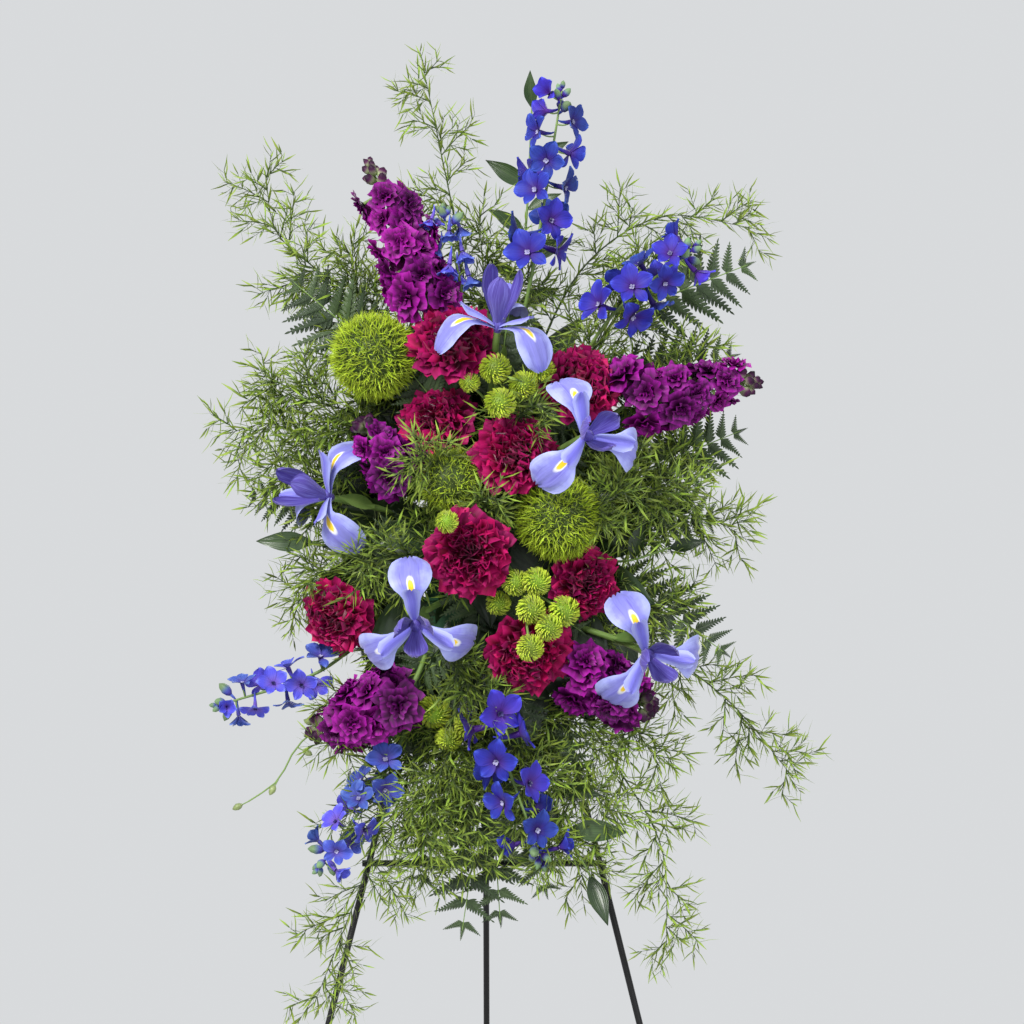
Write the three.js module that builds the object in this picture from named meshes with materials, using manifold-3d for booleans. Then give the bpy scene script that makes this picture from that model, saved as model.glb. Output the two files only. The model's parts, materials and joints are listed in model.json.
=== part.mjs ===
// A standing funeral spray: carnations, irises, stock, delphinium, green dianthus and button
// chrysanthemums with ferns and other greens, in a caged block of wet floral foam that is tied to a
// folding wire easel. Millimetres, +Z up, seen from -Y. Every place of a flower is given as
// x across, out towards the viewer from the easel at the height where the foam hangs, and z up.
import * as THREE from 'three';
import { mergeVertices } from 'three/addons/utils/BufferGeometryUtils.js';
import Module from 'manifold-3d';

const wasm = await Module();
wasm.setup();
const { Manifold } = wasm;

// Driving dimensions of the easel
const ROD_RADIUS = 3.175;
const ROD_SIDES = 12;
const LEAN = THREE.MathUtils.degToRad(13);
const REAR_LEG_OPEN = THREE.MathUtils.degToRad(32);
const HANG_HEIGHT = 1100;
const EASEL_TOP = 1185;
const FOOT_HALF_SPREAD = 307;
const TOP_HALF_SPREAD = 13;
const LOWER_CROSSBAR_HEIGHT = 782;
const CROSSBAR_OVERHANG = 6;
const HINGE_UP = 10;
const STOP_ABOVE_HINGE = 32;
const EYE_CLEARANCE = 0.6;
const TAIL_PAST_STOP = 8;
const TAIL_BESIDE = 2 * ROD_RADIUS;
const REAR_LEG_REACH = 1232;
const EYE_SEGMENTS = 5;
const BELOW_FLOOR = 20;
const FLOOR_BLOCK = { width: 1200, thickness: 100 };
const GAP = 0.3;
const SLIVER = 0.05;

// Driving dimensions of the foam, its cage and the ties
const FOAM = { width: 110, height: 226, depth: 78 };
const PLATE = { front: 3.9, thickness: 2.5 };
const FOAM_BACK = PLATE.front + PLATE.thickness + 2.2;
const CAGE_GAP = 0.5;
const CAGE_BAR = { width: 3, thickness: 2.2 };
const CAGE_HOOP_UPS = [-80, 0, 80];
const CAGE_HOOP_XS = [0];
const TIE = { up: -20, width: 4.8, thickness: 1.2, slack: 1.2 };
const TIE_HEAD = { width: 7, height: 6.4, depth: 4, sunk: 1.5 };
const TIE_SLOT = { width: 2.2, height: 6, depth: 20 };

// Driving dimensions of stems and blades
const STEM_SIDES = 3;
const STEM_RADIUS = {
  spine: 3, carnation: 2.2, iris: 3, stock: 2.6, delphinium: 1.9, pedicel: 0.8, dianthus: 2,
  pomStalk: 2.2, pomFork: 1.2, frond: 1.5, ruscus: 1.5, asparagus: 1.8, branch: 1.2, needle: 0.45,
};
const BORE_CLEARANCE = 0.5;
const PETAL = 0.8;
const LEAF = 0.7;
const HALO = 0.35;
const GOLDEN_TURN = Math.PI * (3 - Math.sqrt(5));
const SINK = 3;
const SPIKE_STEPS = 6;
const LEAFY_STEPS = 5;
const CUP = { length: 26, wide: 7.5, narrow: 3, sides: 5 };
const NEEDLE_LENGTH = 20;
const HIGHEST_SHARE = 0.97;
const SPINE_HALF_REACH = FOAM.height / 2 - 22;

// How the roots of the stems share out the foam: less and less far from its middle than their heads
const ROOTS = { acrossShare: 0.25, halfWidth: 44, upShare: 0.32, halfHeight: 98 };

// Where the flowers sit: carnations by the centre and diameter of the bloom
const CARNATIONS = [
  { x: -30, out: 150, z: 1290, size: 76 },
  { x: 94, out: 135, z: 1251, size: 72 },
  { x: -47, out: 125, z: 1216, size: 66 },
  { x: 31, out: 160, z: 1183, size: 70 },
  { x: -13, out: 180, z: 1087, size: 76 },
  { x: 100, out: 118, z: 1056, size: 64 },
  { x: 44, out: 158, z: 991, size: 74 },
  { x: -144, out: 110, z: 1024, size: 68 },
];

// Irises by the throat of the bloom, the way it looks and the way its first fall points
const IRISES = [
  { x: 13, out: 165, z: 1298, axis: [0.1, 0.5, 0.86], first: [-0.9, 0.35, 0] },
  { x: 94, out: 190, z: 1196, axis: [0.3, 0.93, 0.1], first: [-0.3, 0, 1] },
  { x: -64, out: 185, z: 1022, axis: [0, 0.97, -0.2], first: [-0.1, 0, 1] },
  { x: 153, out: 165, z: 993, axis: [0.25, 0.93, -0.15], first: [-0.42, 0, 0.9] },
  { x: -146, out: 125, z: 1140, axis: [-0.75, 0.62, 0.2], first: [0.35, 0.5, -0.8] },
];

// Spikes from the lowest floret to the tip, with the radius of the spike at both ends
const STOCKS = [
  { base: [-46, 112, 1330], tip: [-109, 92, 1462], wide: 34, narrow: 20, florets: 10, depth: 57 },
  { base: [148, 112, 1234], tip: [262, 102, 1252], wide: 34, narrow: 18, florets: 10, depth: 57 },
  { base: [-78, 140, 1160], tip: [-117, 134, 1210], wide: 27, narrow: 18, florets: 6, depth: 60 },
  { base: [-76, 130, 952], tip: [-166, 108, 912], wide: 34, narrow: 22, florets: 8, depth: 57 },
  { base: [92, 122, 968], tip: [160, 140, 938], wide: 32, narrow: 22, florets: 8, depth: 57 },
];

const DELPHINIUMS = [
  { base: [49, 92, 1372], tip: [76, 82, 1538], size: 40, florets: 9, depth: 45 },
  { base: [126, 122, 1318], tip: [203, 122, 1381], size: 40, florets: 7, depth: 45 },
  { base: [-24, 118, 1352], tip: [-40, 112, 1416], size: 26, florets: 5, depth: 45 },
  { base: [-158, 84, 972], tip: [-258, 96, 938], size: 32, florets: 7, depth: 45 },
  { base: [-92, 112, 880], tip: [-158, 136, 784], size: 34, florets: 8, depth: 45 },
  { base: [8, 152, 936], tip: [56, 162, 792], size: 42, florets: 7, depth: 62 },
];

const GREEN_DIANTHUS = [
  { x: -106, out: 118, z: 1276, radius: 43 },
  { x: 72, out: 136, z: 1121, radius: 42 },
  { x: -32, out: 148, z: 1157, radius: 31 },
];

// Heads of each bunch of button chrysanthemums
const BUTTON_BUNCHES = [
  [
    { x: 11, out: 170, z: 1262, radius: 15 },
    { x: 16, out: 184, z: 1229, radius: 15 },
    { x: 38, out: 170, z: 1246, radius: 14 },
    { x: -13, out: 166, z: 1249, radius: 10 },
    { x: 56, out: 148, z: 1262, radius: 13 },
  ],
  [
    { x: 30, out: 168, z: 1059, radius: 13 },
    { x: 50, out: 172, z: 1060, radius: 14 },
    { x: 45, out: 188, z: 1034, radius: 14 },
    { x: 76, out: 176, z: 1032, radius: 15 },
    { x: 62, out: 192, z: 1017, radius: 13 },
    { x: 14, out: 158, z: 1039, radius: 12 },
    { x: 44, out: 206, z: 999, radius: 13 },
  ],
  [
    { x: -13, out: 128, z: 921, radius: 16 },
    { x: -48, out: 130, z: 934, radius: 17 },
    { x: -34, out: 128, z: 908, radius: 13 },
  ],
];

// Fern fronds by the start and tip of the blade, its width, and how much its middle is lifted out
const FRONDS = [
  { base: [-88, 62, 1268], tip: [-188, 74, 1352], width: 96, lift: 12 },
  { base: [130, 52, 1318], tip: [262, 60, 1370], width: 92, lift: 14 },
  { base: [120, 62, 1252], tip: [248, 70, 1280], width: 78, lift: 10 },
  { base: [140, 62, 1160], tip: [252, 76, 1206], width: 84, lift: 14 },
  { base: [-130, 58, 1128], tip: [-232, 66, 1142], width: 60, lift: 8 },
  { base: [6, 78, 905], tip: [-22, 122, 716], width: 96, lift: 10 },
  { base: [130, 60, 1066], tip: [238, 84, 986], width: 80, lift: 12 },
];

// Leafy ruscus stems by the points that they run through, with the number and length of the leaves
const RUSCUS = [
  { route: [[20, 20, 1235], [40, 20, 1400], [47, 30, 1532]], leaves: 9, size: 50 },
  { route: [[-70, 66, 1096], [-128, 84, 1098], [-168, 92, 1096]], leaves: 4, size: 56 },
  { route: [[72, 72, 1096], [130, 98, 1078], [182, 104, 1092]], leaves: 6, size: 50 },
  { route: [[30, 72, 965], [66, 112, 850], [104, 124, 772]], leaves: 8, size: 60 },
];

// Feathery asparagus stems by the points that they run through and the reach of their side branches
const ASPARAGUS = [
  { route: [[-70, 40, 1225], [-150, 40, 1350], [-205, 44, 1402], [-216, 50, 1462]], reach: 84 },
  { route: [[-16, 42, 1250], [-26, 48, 1390], [-44, 54, 1485], [-60, 58, 1562]], reach: 62 },
  { route: [[40, 40, 1250], [100, 50, 1370], [175, 58, 1416], [266, 62, 1404]], reach: 66 },
  { route: [[-76, 50, 1150], [-150, 72, 1185], [-208, 80, 1212], [-246, 74, 1204]], reach: 88 },
  { route: [[80, 50, 1110], [150, 78, 1124], [205, 82, 1124], [248, 76, 1106]], reach: 74 },
  { route: [[72, 46, 1020], [165, 48, 992], [240, 56, 940], [301, 60, 868]], reach: 64 },
  { route: [[-40, 64, 965], [-84, 108, 868], [-122, 132, 758], [-162, 146, 656]], reach: 78 },
  { route: [[66, 60, 975], [128, 82, 880], [172, 98, 800], [176, 120, 706]], reach: 62 },
];

// Tells apart stems of a kind inside the foam: how deep in front of the easel they end
const FROND_DEPTH = 34;
const RUSCUS_DEPTH = 24;
const ASPARAGUS_DEPTH = 14;
const GREEN_DEPTH = 68;
const HEART_DEPTH = 46;

const COLOURS = {
  steel: { color: 0x16181a, roughness: 0.42, metalness: 0.6 },
  foam: { color: 0x2f6b3c, roughness: 0.95, metalness: 0 },
  cage: { color: 0x1f5a34, roughness: 0.5, metalness: 0 },
  tie: { color: 0x101010, roughness: 0.5, metalness: 0 },
  stem: { color: 0x5f8a3a, roughness: 0.6, metalness: 0 },
  carnation: { color: 0xa00a48, roughness: 0.7, metalness: 0 },
  iris: { color: 0x6a62d0, roughness: 0.6, metalness: 0 },
  stock: { color: 0x7a0a80, roughness: 0.65, metalness: 0 },
  delphinium: { color: 0x3348c8, roughness: 0.6, metalness: 0 },
  lime: { color: 0x86b41c, roughness: 0.75, metalness: 0 },
  fern: { color: 0x2f4a1c, roughness: 0.6, metalness: 0 },
  ruscus: { color: 0x28401c, roughness: 0.4, metalness: 0 },
  asparagus: { color: 0x6f8f2c, roughness: 0.6, metalness: 0 },
};

// Points and directions
const vec = (x, y, z) => new THREE.Vector3(x, y, z);
const at = (x, out, z) => vec(x, -out, z);
const atPoint = ([x, out, z]) => at(x, out, z);
const clamp = THREE.MathUtils.clamp;
const VIEWER = vec(0, -1, 0);

// A point on the easel's leaning front: across, up the slope from the hanging height, and forwards
function onFrame(x, up, front) {
  const y = up * Math.sin(LEAN) - front * Math.cos(LEAN);
  return vec(x, y, HANG_HEIGHT + up * Math.cos(LEAN) + front * Math.sin(LEAN));
}

const upAtHeight = (z) => (z - HANG_HEIGHT) / Math.cos(LEAN);
const HEART = onFrame(0, 0, HEART_DEPTH);
const FORWARDS = onFrame(0, 0, 1).sub(onFrame(0, 0, 0));
const UPWARDS = onFrame(0, 1, 0).sub(onFrame(0, 0, 0));
const ACROSS = vec(1, 0, 0);

function halfSpread(up) {
  const share = (upAtHeight(EASEL_TOP) - up) / (upAtHeight(EASEL_TOP) - upAtHeight(0));
  return TOP_HALF_SPREAD + (FOOT_HALF_SPREAD - TOP_HALF_SPREAD) * share;
}

// A matrix whose Z is the axis and whose X is the first direction, squared to the axis
function frameAlong(origin, axis, first = vec(0.31, 0.17, 0.93)) {
  const z = axis.clone().normalize();
  const x = first.clone().addScaledVector(z, -first.dot(z)).normalize();
  const y = z.clone().cross(x);
  return new THREE.Matrix4().makeBasis(x, y, z).setPosition(origin);
}

// Solids
function solidOf(geometry) {
  const bare = geometry.clone();
  for (const name of Object.keys(bare.attributes)) {
    if (name !== 'position') bare.deleteAttribute(name);
  }
  const merged = mergeVertices(bare, 1e-4);
  const vertProperties = merged.attributes.position.array;
  const corners = [];
  for (let i = 0; i < merged.index.count; i += 3) {
    const [a, b, c] = merged.index.array.slice(i, i + 3);
    if (a !== b && b !== c && c !== a) corners.push(a, b, c);
  }
  const closed = (triVerts) => new Manifold(new wasm.Mesh({ numProp: 3, vertProperties, triVerts }));
  const solid = closed(new Uint32Array(corners));
  return solid.volume() > 0 ? solid : closed(new Uint32Array(corners.reverse()));
}

const fuse = (solids) => Manifold.union(solids);

function largest(solid) {
  const bodies = solid.decompose();
  return bodies.reduce((a, b) => (a.volume() > b.volume() ? a : b));
}

// The solid and copies of it moved a little each way: what a neighbour has to keep clear of
function halo(solid) {
  const copies = [solid];
  for (const shift of [-HALO, HALO]) {
    copies.push(solid.translate(shift, 0, 0), solid.translate(0, shift, 0), solid.translate(0, 0, shift));
  }
  return fuse(copies);
}

function rod(from, to) {
  const axis = to.clone().sub(from);
  const geometry = new THREE.CylinderGeometry(ROD_RADIUS, ROD_RADIUS, axis.length(), ROD_SIDES);
  geometry.rotateX(Math.PI / 2).translate(0, 0, axis.length() / 2);
  return solidOf(geometry.applyMatrix4(frameAlong(from, axis)));
}

function tube(curve, radius, steps) {
  const corners = Array.from({ length: STEM_SIDES }, (_, i) => {
    const turn = (i / STEM_SIDES) * 2 * Math.PI;
    return new THREE.Vector2(radius * Math.cos(turn), radius * Math.sin(turn));
  });
  const section = new THREE.Shape(corners);
  const options = { steps, extrudePath: curve, bevelEnabled: false };
  return solidOf(new THREE.ExtrudeGeometry(section, options));
}

// A three-sided needle from its sunk root to its point
function needle(root, tip, radius) {
  const frame = frameAlong(root, tip.clone().sub(root));
  const corners = [0, 1, 2].map((i) => {
    const turn = (i / 3) * 2 * Math.PI;
    return vec(radius * Math.cos(turn), radius * Math.sin(turn), 0).applyMatrix4(frame);
  });
  const geometry = new THREE.BufferGeometry().setFromPoints([...corners, tip]);
  geometry.setIndex([0, 2, 1, 0, 1, 3, 1, 2, 3, 2, 0, 3]);
  return solidOf(geometry);
}

// A thin sheet with its two faces split into triangles alike, and a rim round its open edges
function plate(points, faces, thickness) {
  const normals = points.map(() => vec(0, 0, 0));
  for (const [a, b, c] of faces) {
    const side = points[b].clone().sub(points[a]);
    const normal = side.cross(points[c].clone().sub(points[a]));
    for (const corner of [a, b, c]) normals[corner].add(normal);
  }
  const count = points.length;
  const faceOf = (sign) =>
    points.map((p, i) => p.clone().addScaledVector(normals[i].normalize(), (sign * thickness) / 2));
  const index = [];
  const edges = new Set(faces.flatMap(([a, b, c]) => [`${a},${b}`, `${b},${c}`, `${c},${a}`]));
  for (const [a, b, c] of faces) index.push(a, b, c, a + count, c + count, b + count);
  for (const edge of edges) {
    const [a, b] = edge.split(',').map(Number);
    if (!edges.has(`${b},${a}`)) index.push(a, a + count, b + count, a, b + count, b);
  }
  const geometry = new THREE.BufferGeometry().setFromPoints([...faceOf(1), ...faceOf(-1)]);
  geometry.setIndex(index);
  return geometry;
}

// A blade from rows of points, root to tip, where a row is as long as its neighbour or a single point
function blade(rows, thickness) {
  const points = rows.flat();
  const starts = rows.map((_, i) => rows.slice(0, i).flat().length);
  const pick = (i, j) => starts[i] + (rows[i].length === 1 ? 0 : j);
  const width = Math.max(...rows.map((row) => row.length));
  const faces = [];
  for (let i = 0; i + 1 < rows.length; i++) {
    for (let j = 0; j + 1 < width; j++) {
      const [a, b, c, d] = [pick(i, j), pick(i, j + 1), pick(i + 1, j + 1), pick(i + 1, j)];
      if (a !== b) faces.push([a, b, c]);
      if (c !== d) faces.push([a, c, d]);
    }
  }
  return plate(points, faces, thickness);
}

// A body turned from a profile of reach and height, whose rows are then waved by a rule
function turned(profile, around, wave) {
  const points = profile.map(([reach, height]) => new THREE.Vector2(reach, height));
  const geometry = new THREE.LatheGeometry(points, around);
  const position = geometry.attributes.position;
  for (let i = 0; i < position.count; i++) {
    const row = i % points.length;
    const column = Math.floor(i / points.length) % around;
    const [stretch, lift] = wave(row, column);
    const [x, y, z] = [position.getX(i), position.getY(i), position.getZ(i)];
    position.setXYZ(i, x * stretch, y + lift, z * stretch);
  }
  return geometry.rotateX(Math.PI / 2);
}

// A ball whose points are sunk but for the raised ones that a rule picks by row and column
function studdedBall(radius, around, rows, sunk, isRaised) {
  const geometry = new THREE.SphereGeometry(radius, around, rows);
  const position = geometry.attributes.position;
  for (let i = 0; i < position.count; i++) {
    const column = i % (around + 1) % around;
    const row = Math.floor(i / (around + 1));
    const isPole = row === 0 || row === rows;
    const depth = isPole || isRaised(row, column) ? 1 : sunk;
    position.setXYZ(i, position.getX(i) * depth, position.getY(i) * depth, position.getZ(i) * depth);
  }
  return geometry.rotateX(Math.PI / 2);
}

const inFrame = (geometry, frame) => solidOf(geometry.applyMatrix4(frame));

// Stems and the plain bores that they stand in
const bores = [];

function rootInFoam(point, depth) {
  const x = clamp(point.x * ROOTS.acrossShare, -ROOTS.halfWidth, ROOTS.halfWidth);
  const up = (point.z - HANG_HEIGHT) * ROOTS.upShare;
  return onFrame(x, clamp(up, -ROOTS.halfHeight, ROOTS.halfHeight), depth);
}

// A curve as a chain of straight stretches, so that what grows from it meets the tube along it
function faceted(curve, steps) {
  const path = new THREE.CurvePath();
  const points = curve.getSpacedPoints(steps);
  for (let i = 0; i < steps; i++) path.add(new THREE.LineCurve3(points[i], points[i + 1]));
  return path;
}

function stem(curve, radius, steps) {
  const back = curve.getTangent(0).setLength(-BORE_CLEARANCE * 0.6);
  const bore = tube(curve, radius + BORE_CLEARANCE, steps);
  bores.push(bore.translate(back.x, back.y, back.z));
  return tube(curve, radius, steps);
}

function bent(root, head, facing) {
  const reach = root.distanceTo(head);
  const knee = head.clone().addScaledVector(facing, -0.35 * reach);
  return new THREE.QuadraticBezierCurve3(root, knee, head);
}

// Easel
function leg(side) {
  const foot = upAtHeight(-BELOW_FLOOR);
  const top = upAtHeight(EASEL_TOP);
  return rod(onFrame(side * halfSpread(foot), foot, 0), onFrame(side * halfSpread(top), top, 0));
}

function crossbar(up, front) {
  const half = halfSpread(up) + CROSSBAR_OVERHANG;
  return rod(onFrame(-half, up, front), onFrame(half, up, front));
}

function cutAtFloor(solid) {
  const { width, thickness } = FLOOR_BLOCK;
  const below = new THREE.BoxGeometry(width, width, thickness).translate(0, 0, -thickness / 2);
  return solid.subtract(solidOf(below));
}

const BESIDE = 2 * ROD_RADIUS + GAP;
const EYE_INNER = ROD_RADIUS + EYE_CLEARANCE;
const EYE_MIDDLE = EYE_INNER + ROD_RADIUS;

// The rear leg: a rod whose double eye turns on the hinge rod and whose tail stops at the rod above
function rearLeg() {
  const ring = new THREE.Shape().absarc(0, 0, EYE_INNER + 2 * ROD_RADIUS, 0, 2 * Math.PI);
  ring.holes.push(new THREE.Path().absarc(0, 0, EYE_INNER, 0, 2 * Math.PI, true));
  const coils = { depth: 4 * ROD_RADIUS, bevelEnabled: false, curveSegments: EYE_SEGMENTS };
  const eye = new THREE.ExtrudeGeometry(ring, coils).translate(0, 0, -ROD_RADIUS);
  const onHinge = frameAlong(onFrame(0, HINGE_UP, -BESIDE), ACROSS, vec(0, 0, 1));
  const backUp = EYE_MIDDLE * Math.sin(REAR_LEG_OPEN);
  const backFront = EYE_MIDDLE * Math.cos(REAR_LEG_OPEN);
  const shoulder = [HINGE_UP + backUp, -BESIDE - backFront];
  const foot = [
    shoulder[0] - REAR_LEG_REACH * Math.cos(REAR_LEG_OPEN),
    shoulder[1] - REAR_LEG_REACH * Math.sin(REAR_LEG_OPEN),
  ];
  const shank = rod(onFrame(0, ...shoulder), onFrame(0, ...foot));
  const tailFront = -BESIDE - EYE_MIDDLE;
  const tailTop = HINGE_UP + STOP_ABOVE_HINGE + TAIL_PAST_STOP;
  const tailFoot = onFrame(TAIL_BESIDE, HINGE_UP, tailFront);
  const tail = rod(tailFoot, onFrame(TAIL_BESIDE, tailTop, tailFront));
  return cutAtFloor(fuse([inFrame(eye, onHinge), shank, tail]));
}

// Foam, cage and ties, drawn on the easel's leaning front
function boxOnFrame(width, height, depth, x, up, front) {
  const frame = frameAlong(onFrame(x, up, front), FORWARDS, ACROSS);
  return inFrame(new THREE.BoxGeometry(width, height, depth), frame);
}

function foamBlock() {
  return boxOnFrame(FOAM.width, FOAM.height, FOAM.depth, 0, 0, FOAM_BACK + FOAM.depth / 2);
}

// A U-shaped bar round the foam, open at the back plate
function hoop(halfInner, depthInner, frame) {
  const outer = halfInner + CAGE_BAR.thickness;
  const front = depthInner + CAGE_BAR.thickness;
  const outline = [[-outer, 0], [-outer, front], [outer, front], [outer, 0]];
  const inner = [[halfInner, 0], [halfInner, depthInner], [-halfInner, depthInner], [-halfInner, 0]];
  const shape = new THREE.Shape([...outline, ...inner].map(([a, b]) => new THREE.Vector2(a, b)));
  const bar = new THREE.ExtrudeGeometry(shape, { depth: CAGE_BAR.width, bevelEnabled: false });
  return inFrame(bar.translate(0, 0, -CAGE_BAR.width / 2), frame);
}

function foamCage() {
  const half = FOAM.width / 2 + CAGE_GAP;
  const halfUp = FOAM.height / 2 + CAGE_GAP;
  const depth = FOAM_BACK + FOAM.depth + CAGE_GAP - PLATE.front;
  const [width, height] = [half, halfUp].map((inner) => 2 * (inner + CAGE_BAR.thickness));
  const bars = [boxOnFrame(width, height, PLATE.thickness, 0, 0, PLATE.front + PLATE.thickness / 2)];
  for (const up of CAGE_HOOP_UPS) {
    const sideways = new THREE.Matrix4().makeBasis(ACROSS, FORWARDS, UPWARDS);
    bars.push(hoop(half, depth, sideways.setPosition(onFrame(0, up, PLATE.front))));
  }
  for (const x of CAGE_HOOP_XS) {
    const lengthways = new THREE.Matrix4().makeBasis(UPWARDS, FORWARDS, vec(-1, 0, 0));
    bars.push(hoop(halfUp, depth, lengthways.setPosition(onFrame(x, 0, PLATE.front))));
  }
  const slots = [-1, 1].flatMap((side) => tieSlots(side));
  return fuse(bars).subtract(fuse(slots));
}

const tieHalf = ROD_RADIUS + TIE.slack;

function tieSlots(side) {
  const x = side * halfSpread(TIE.up);
  const shift = tieHalf + TIE.thickness / 2;
  return [-shift, shift].map((dx) =>
    boxOnFrame(TIE_SLOT.width, TIE_SLOT.height, TIE_SLOT.depth, x + dx, TIE.up, PLATE.front));
}

// A tie round one leg and through the cage's back plate, with its locking head behind
function cableTie(side) {
  const back = -ROD_RADIUS - TIE.slack / 2;
  const front = PLATE.front + PLATE.thickness + GAP;
  const outlineAt = (margin) => {
    const [x, low, high] = [tieHalf + margin, back - margin, front + margin];
    return [[-x, low], [x, low], [x, high], [-x, high]].map(([a, b]) => new THREE.Vector2(a, b));
  };
  const shape = new THREE.Shape(outlineAt(TIE.thickness));
  shape.holes.push(new THREE.Path(outlineAt(0).reverse()));
  const band = new THREE.ExtrudeGeometry(shape, { depth: TIE.width, bevelEnabled: false });
  band.translate(0, 0, -TIE.width / 2);
  const x = side * halfSpread(TIE.up);
  const frame = new THREE.Matrix4().makeBasis(ACROSS, FORWARDS, UPWARDS);
  frame.setPosition(onFrame(x, TIE.up, 0));
  const { width, height, depth, sunk } = TIE_HEAD;
  const head = boxOnFrame(width, height, depth, x, TIE.up, back - TIE.thickness - sunk);
  return fuse([inFrame(band, frame), head]);
}

// Blooms, each drawn with its face towards +Z. A carnation is turned in four layers, each waved
// into petals whose edges are notched and ruffled. Reaches and heights are shares of the radius.
const CARNATION_PROFILE = [
  [0, -0.3], [1, -0.02], [0.46, 0.02], [0.88, 0.36], [0.34, 0.3],
  [0.62, 0.66], [0.2, 0.5], [0.26, 0.74], [0, 0.56],
];
const PETAL_EDGE = [[0.76, -0.05], [1, 0.05], [0.93, -0.05], [1, 0.06]];
const CARNATION = { around: 16, base: 0.15, foot: 0.3, towardsViewer: 0.9 };

function carnationBloom(size) {
  const radius = size / 2;
  const profile = CARNATION_PROFILE.map(([reach, height]) => [reach * radius, height * radius]);
  return turned(profile, CARNATION.around, (row, column) => {
    if (row % 2 === 0) return [1, 0];
    const [stretch, lift] = PETAL_EDGE[(column + row) % PETAL_EDGE.length];
    return [stretch, lift * radius];
  });
}

const polar = (reach, height, turn) => vec(reach * Math.cos(turn), reach * Math.sin(turn), height);

// A petal that leaves the axis at a turn: stations of reach, height and half width, and its keel
function axialPetal(stations, turn, keel) {
  return stations.map(([reach, height, half]) => {
    if (!half) return [polar(reach, height, turn)];
    const side = vec(-Math.sin(turn), Math.cos(turn), 0).multiplyScalar(half);
    const middle = polar(reach, height, turn);
    const ridge = middle.clone().add(vec(0, 0, keel));
    return [middle.clone().sub(side), ridge, middle.clone().add(side)];
  });
}

function irisPetals() {
  const fall = [[3, 4, 0], [27, 14, 6.5], [43, 13, 16], [56, -6, 13], [58, -18, 0]];
  const standard = [[3, 6, 0], [19, 44, 10.5], [17, 62, 0]];
  const crest = [[4, 8, 0], [25, 22, 6.5], [38, 30, 0]];
  const third = (2 * Math.PI) / 3;
  const petals = [0, 1, 2].flatMap((k) => [
    blade(axialPetal(fall, k * third, 2.4), PETAL),
    blade(axialPetal(standard, (k + 0.5) * third, -2.5), PETAL),
    blade(axialPetal(crest, k * third, 2), PETAL),
  ]);
  const throat = new THREE.CylinderGeometry(6.5, 4.5, 12, 6).rotateX(Math.PI / 2);
  return [...petals, throat.translate(0, 0, 6)];
}

// Five broad petals, cupped round a floret's eye
function delphiniumFloret(size) {
  const radius = size / 2;
  const profile = [[0, -radius * 0.1], [radius, radius * 0.32], [0, radius * 0.08]];
  const notch = [0.62, -radius * 0.16];
  return turned(profile, 10, (row, column) => (row === 1 && column % 2 ? notch : [1, 0]));
}

// A double floret: a ruffled rim round a ruffled tuft, on a tapering back that reaches its stem
function stockFloret(size, reach) {
  const radius = size / 2;
  const profile = [[0, -reach], [radius, 0], [radius * 0.5, radius * 0.45], [0, radius * 0.3]];
  return turned(profile, 6, (row, column) => {
    if (row === 1) return column % 2 ? [1, radius * 0.2] : [0.78, -radius * 0.1];
    return row === 2 && column % 2 ? [0.7, -radius * 0.25] : [1, 0];
  });
}

// The way from the foam to the foot of a spike and on to its tip, and the share of it below the foot
function spikePath(base, tip, depth) {
  const [from, to] = [atPoint(base), atPoint(tip)];
  const root = rootInFoam(from, depth);
  const curve = new THREE.CatmullRomCurve3([root, root.clone().lerp(from, 0.55), from, to]);
  const path = faceted(curve, SPIKE_STEPS);
  return { path, foot: 1 - from.distanceTo(to) / path.getLength() };
}

// Places round a spike from its lowest floret up: the centre and the facing of each
function spikePlaces({ path, foot }, count, reachAt) {
  return Array.from({ length: count }, (_, i) => {
    const share = i / (count - 1);
    const along = THREE.MathUtils.lerp(foot, HIGHEST_SHARE, share);
    const knot = path.getPoint(along);
    const turn = i * GOLDEN_TURN;
    const round = frameAlong(knot, path.getTangent(along), vec(0, -0.4, 1));
    const facing = vec(Math.cos(turn), Math.sin(turn), 0).transformDirection(round);
    facing.addScaledVector(VIEWER, 0.4).normalize();
    return { knot, facing, centre: knot.clone().addScaledVector(facing, reachAt(share)), share };
  });
}

function stockSpike({ base, tip, wide, narrow, florets, depth }) {
  const spike = spikePath(base, tip, depth);
  const sizeAt = (share) => THREE.MathUtils.lerp(wide, narrow, share) * 1.1;
  const reachAt = (share) => sizeAt(share) * 0.42;
  const pieces = [stem(spike.path, STEM_RADIUS.stock, SPIKE_STEPS)];
  for (const { centre, facing, share } of spikePlaces(spike, florets, reachAt)) {
    pieces.push(inFrame(stockFloret(sizeAt(share), reachAt(share)), frameAlong(centre, facing)));
  }
  const bud = new THREE.OctahedronGeometry(5).scale(1, 1, 1.5);
  pieces.push(inFrame(bud, frameAlong(spike.path.getPoint(1), spike.path.getTangent(1))));
  return fuse(pieces);
}

function delphiniumSpike({ base, tip, size, florets, depth }) {
  const spike = spikePath(base, tip, depth);
  const upwards = spike.path.getTangent(0.9);
  const pieces = [stem(spike.path, STEM_RADIUS.delphinium, SPIKE_STEPS)];
  for (const { knot, centre, facing, share } of spikePlaces(spike, florets, () => size * 0.45)) {
    const here = size * (1 - 0.28 * share);
    const frame = frameAlong(centre, facing, upwards);
    pieces.push(inFrame(delphiniumFloret(here), frame));
    const heart = polar(here * 0.08, here * 0.025, Math.PI / 10).applyMatrix4(frame);
    pieces.push(tube(new THREE.LineCurve3(knot, heart), STEM_RADIUS.pedicel, 1));
  }
  return fuse(pieces);
}

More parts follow.
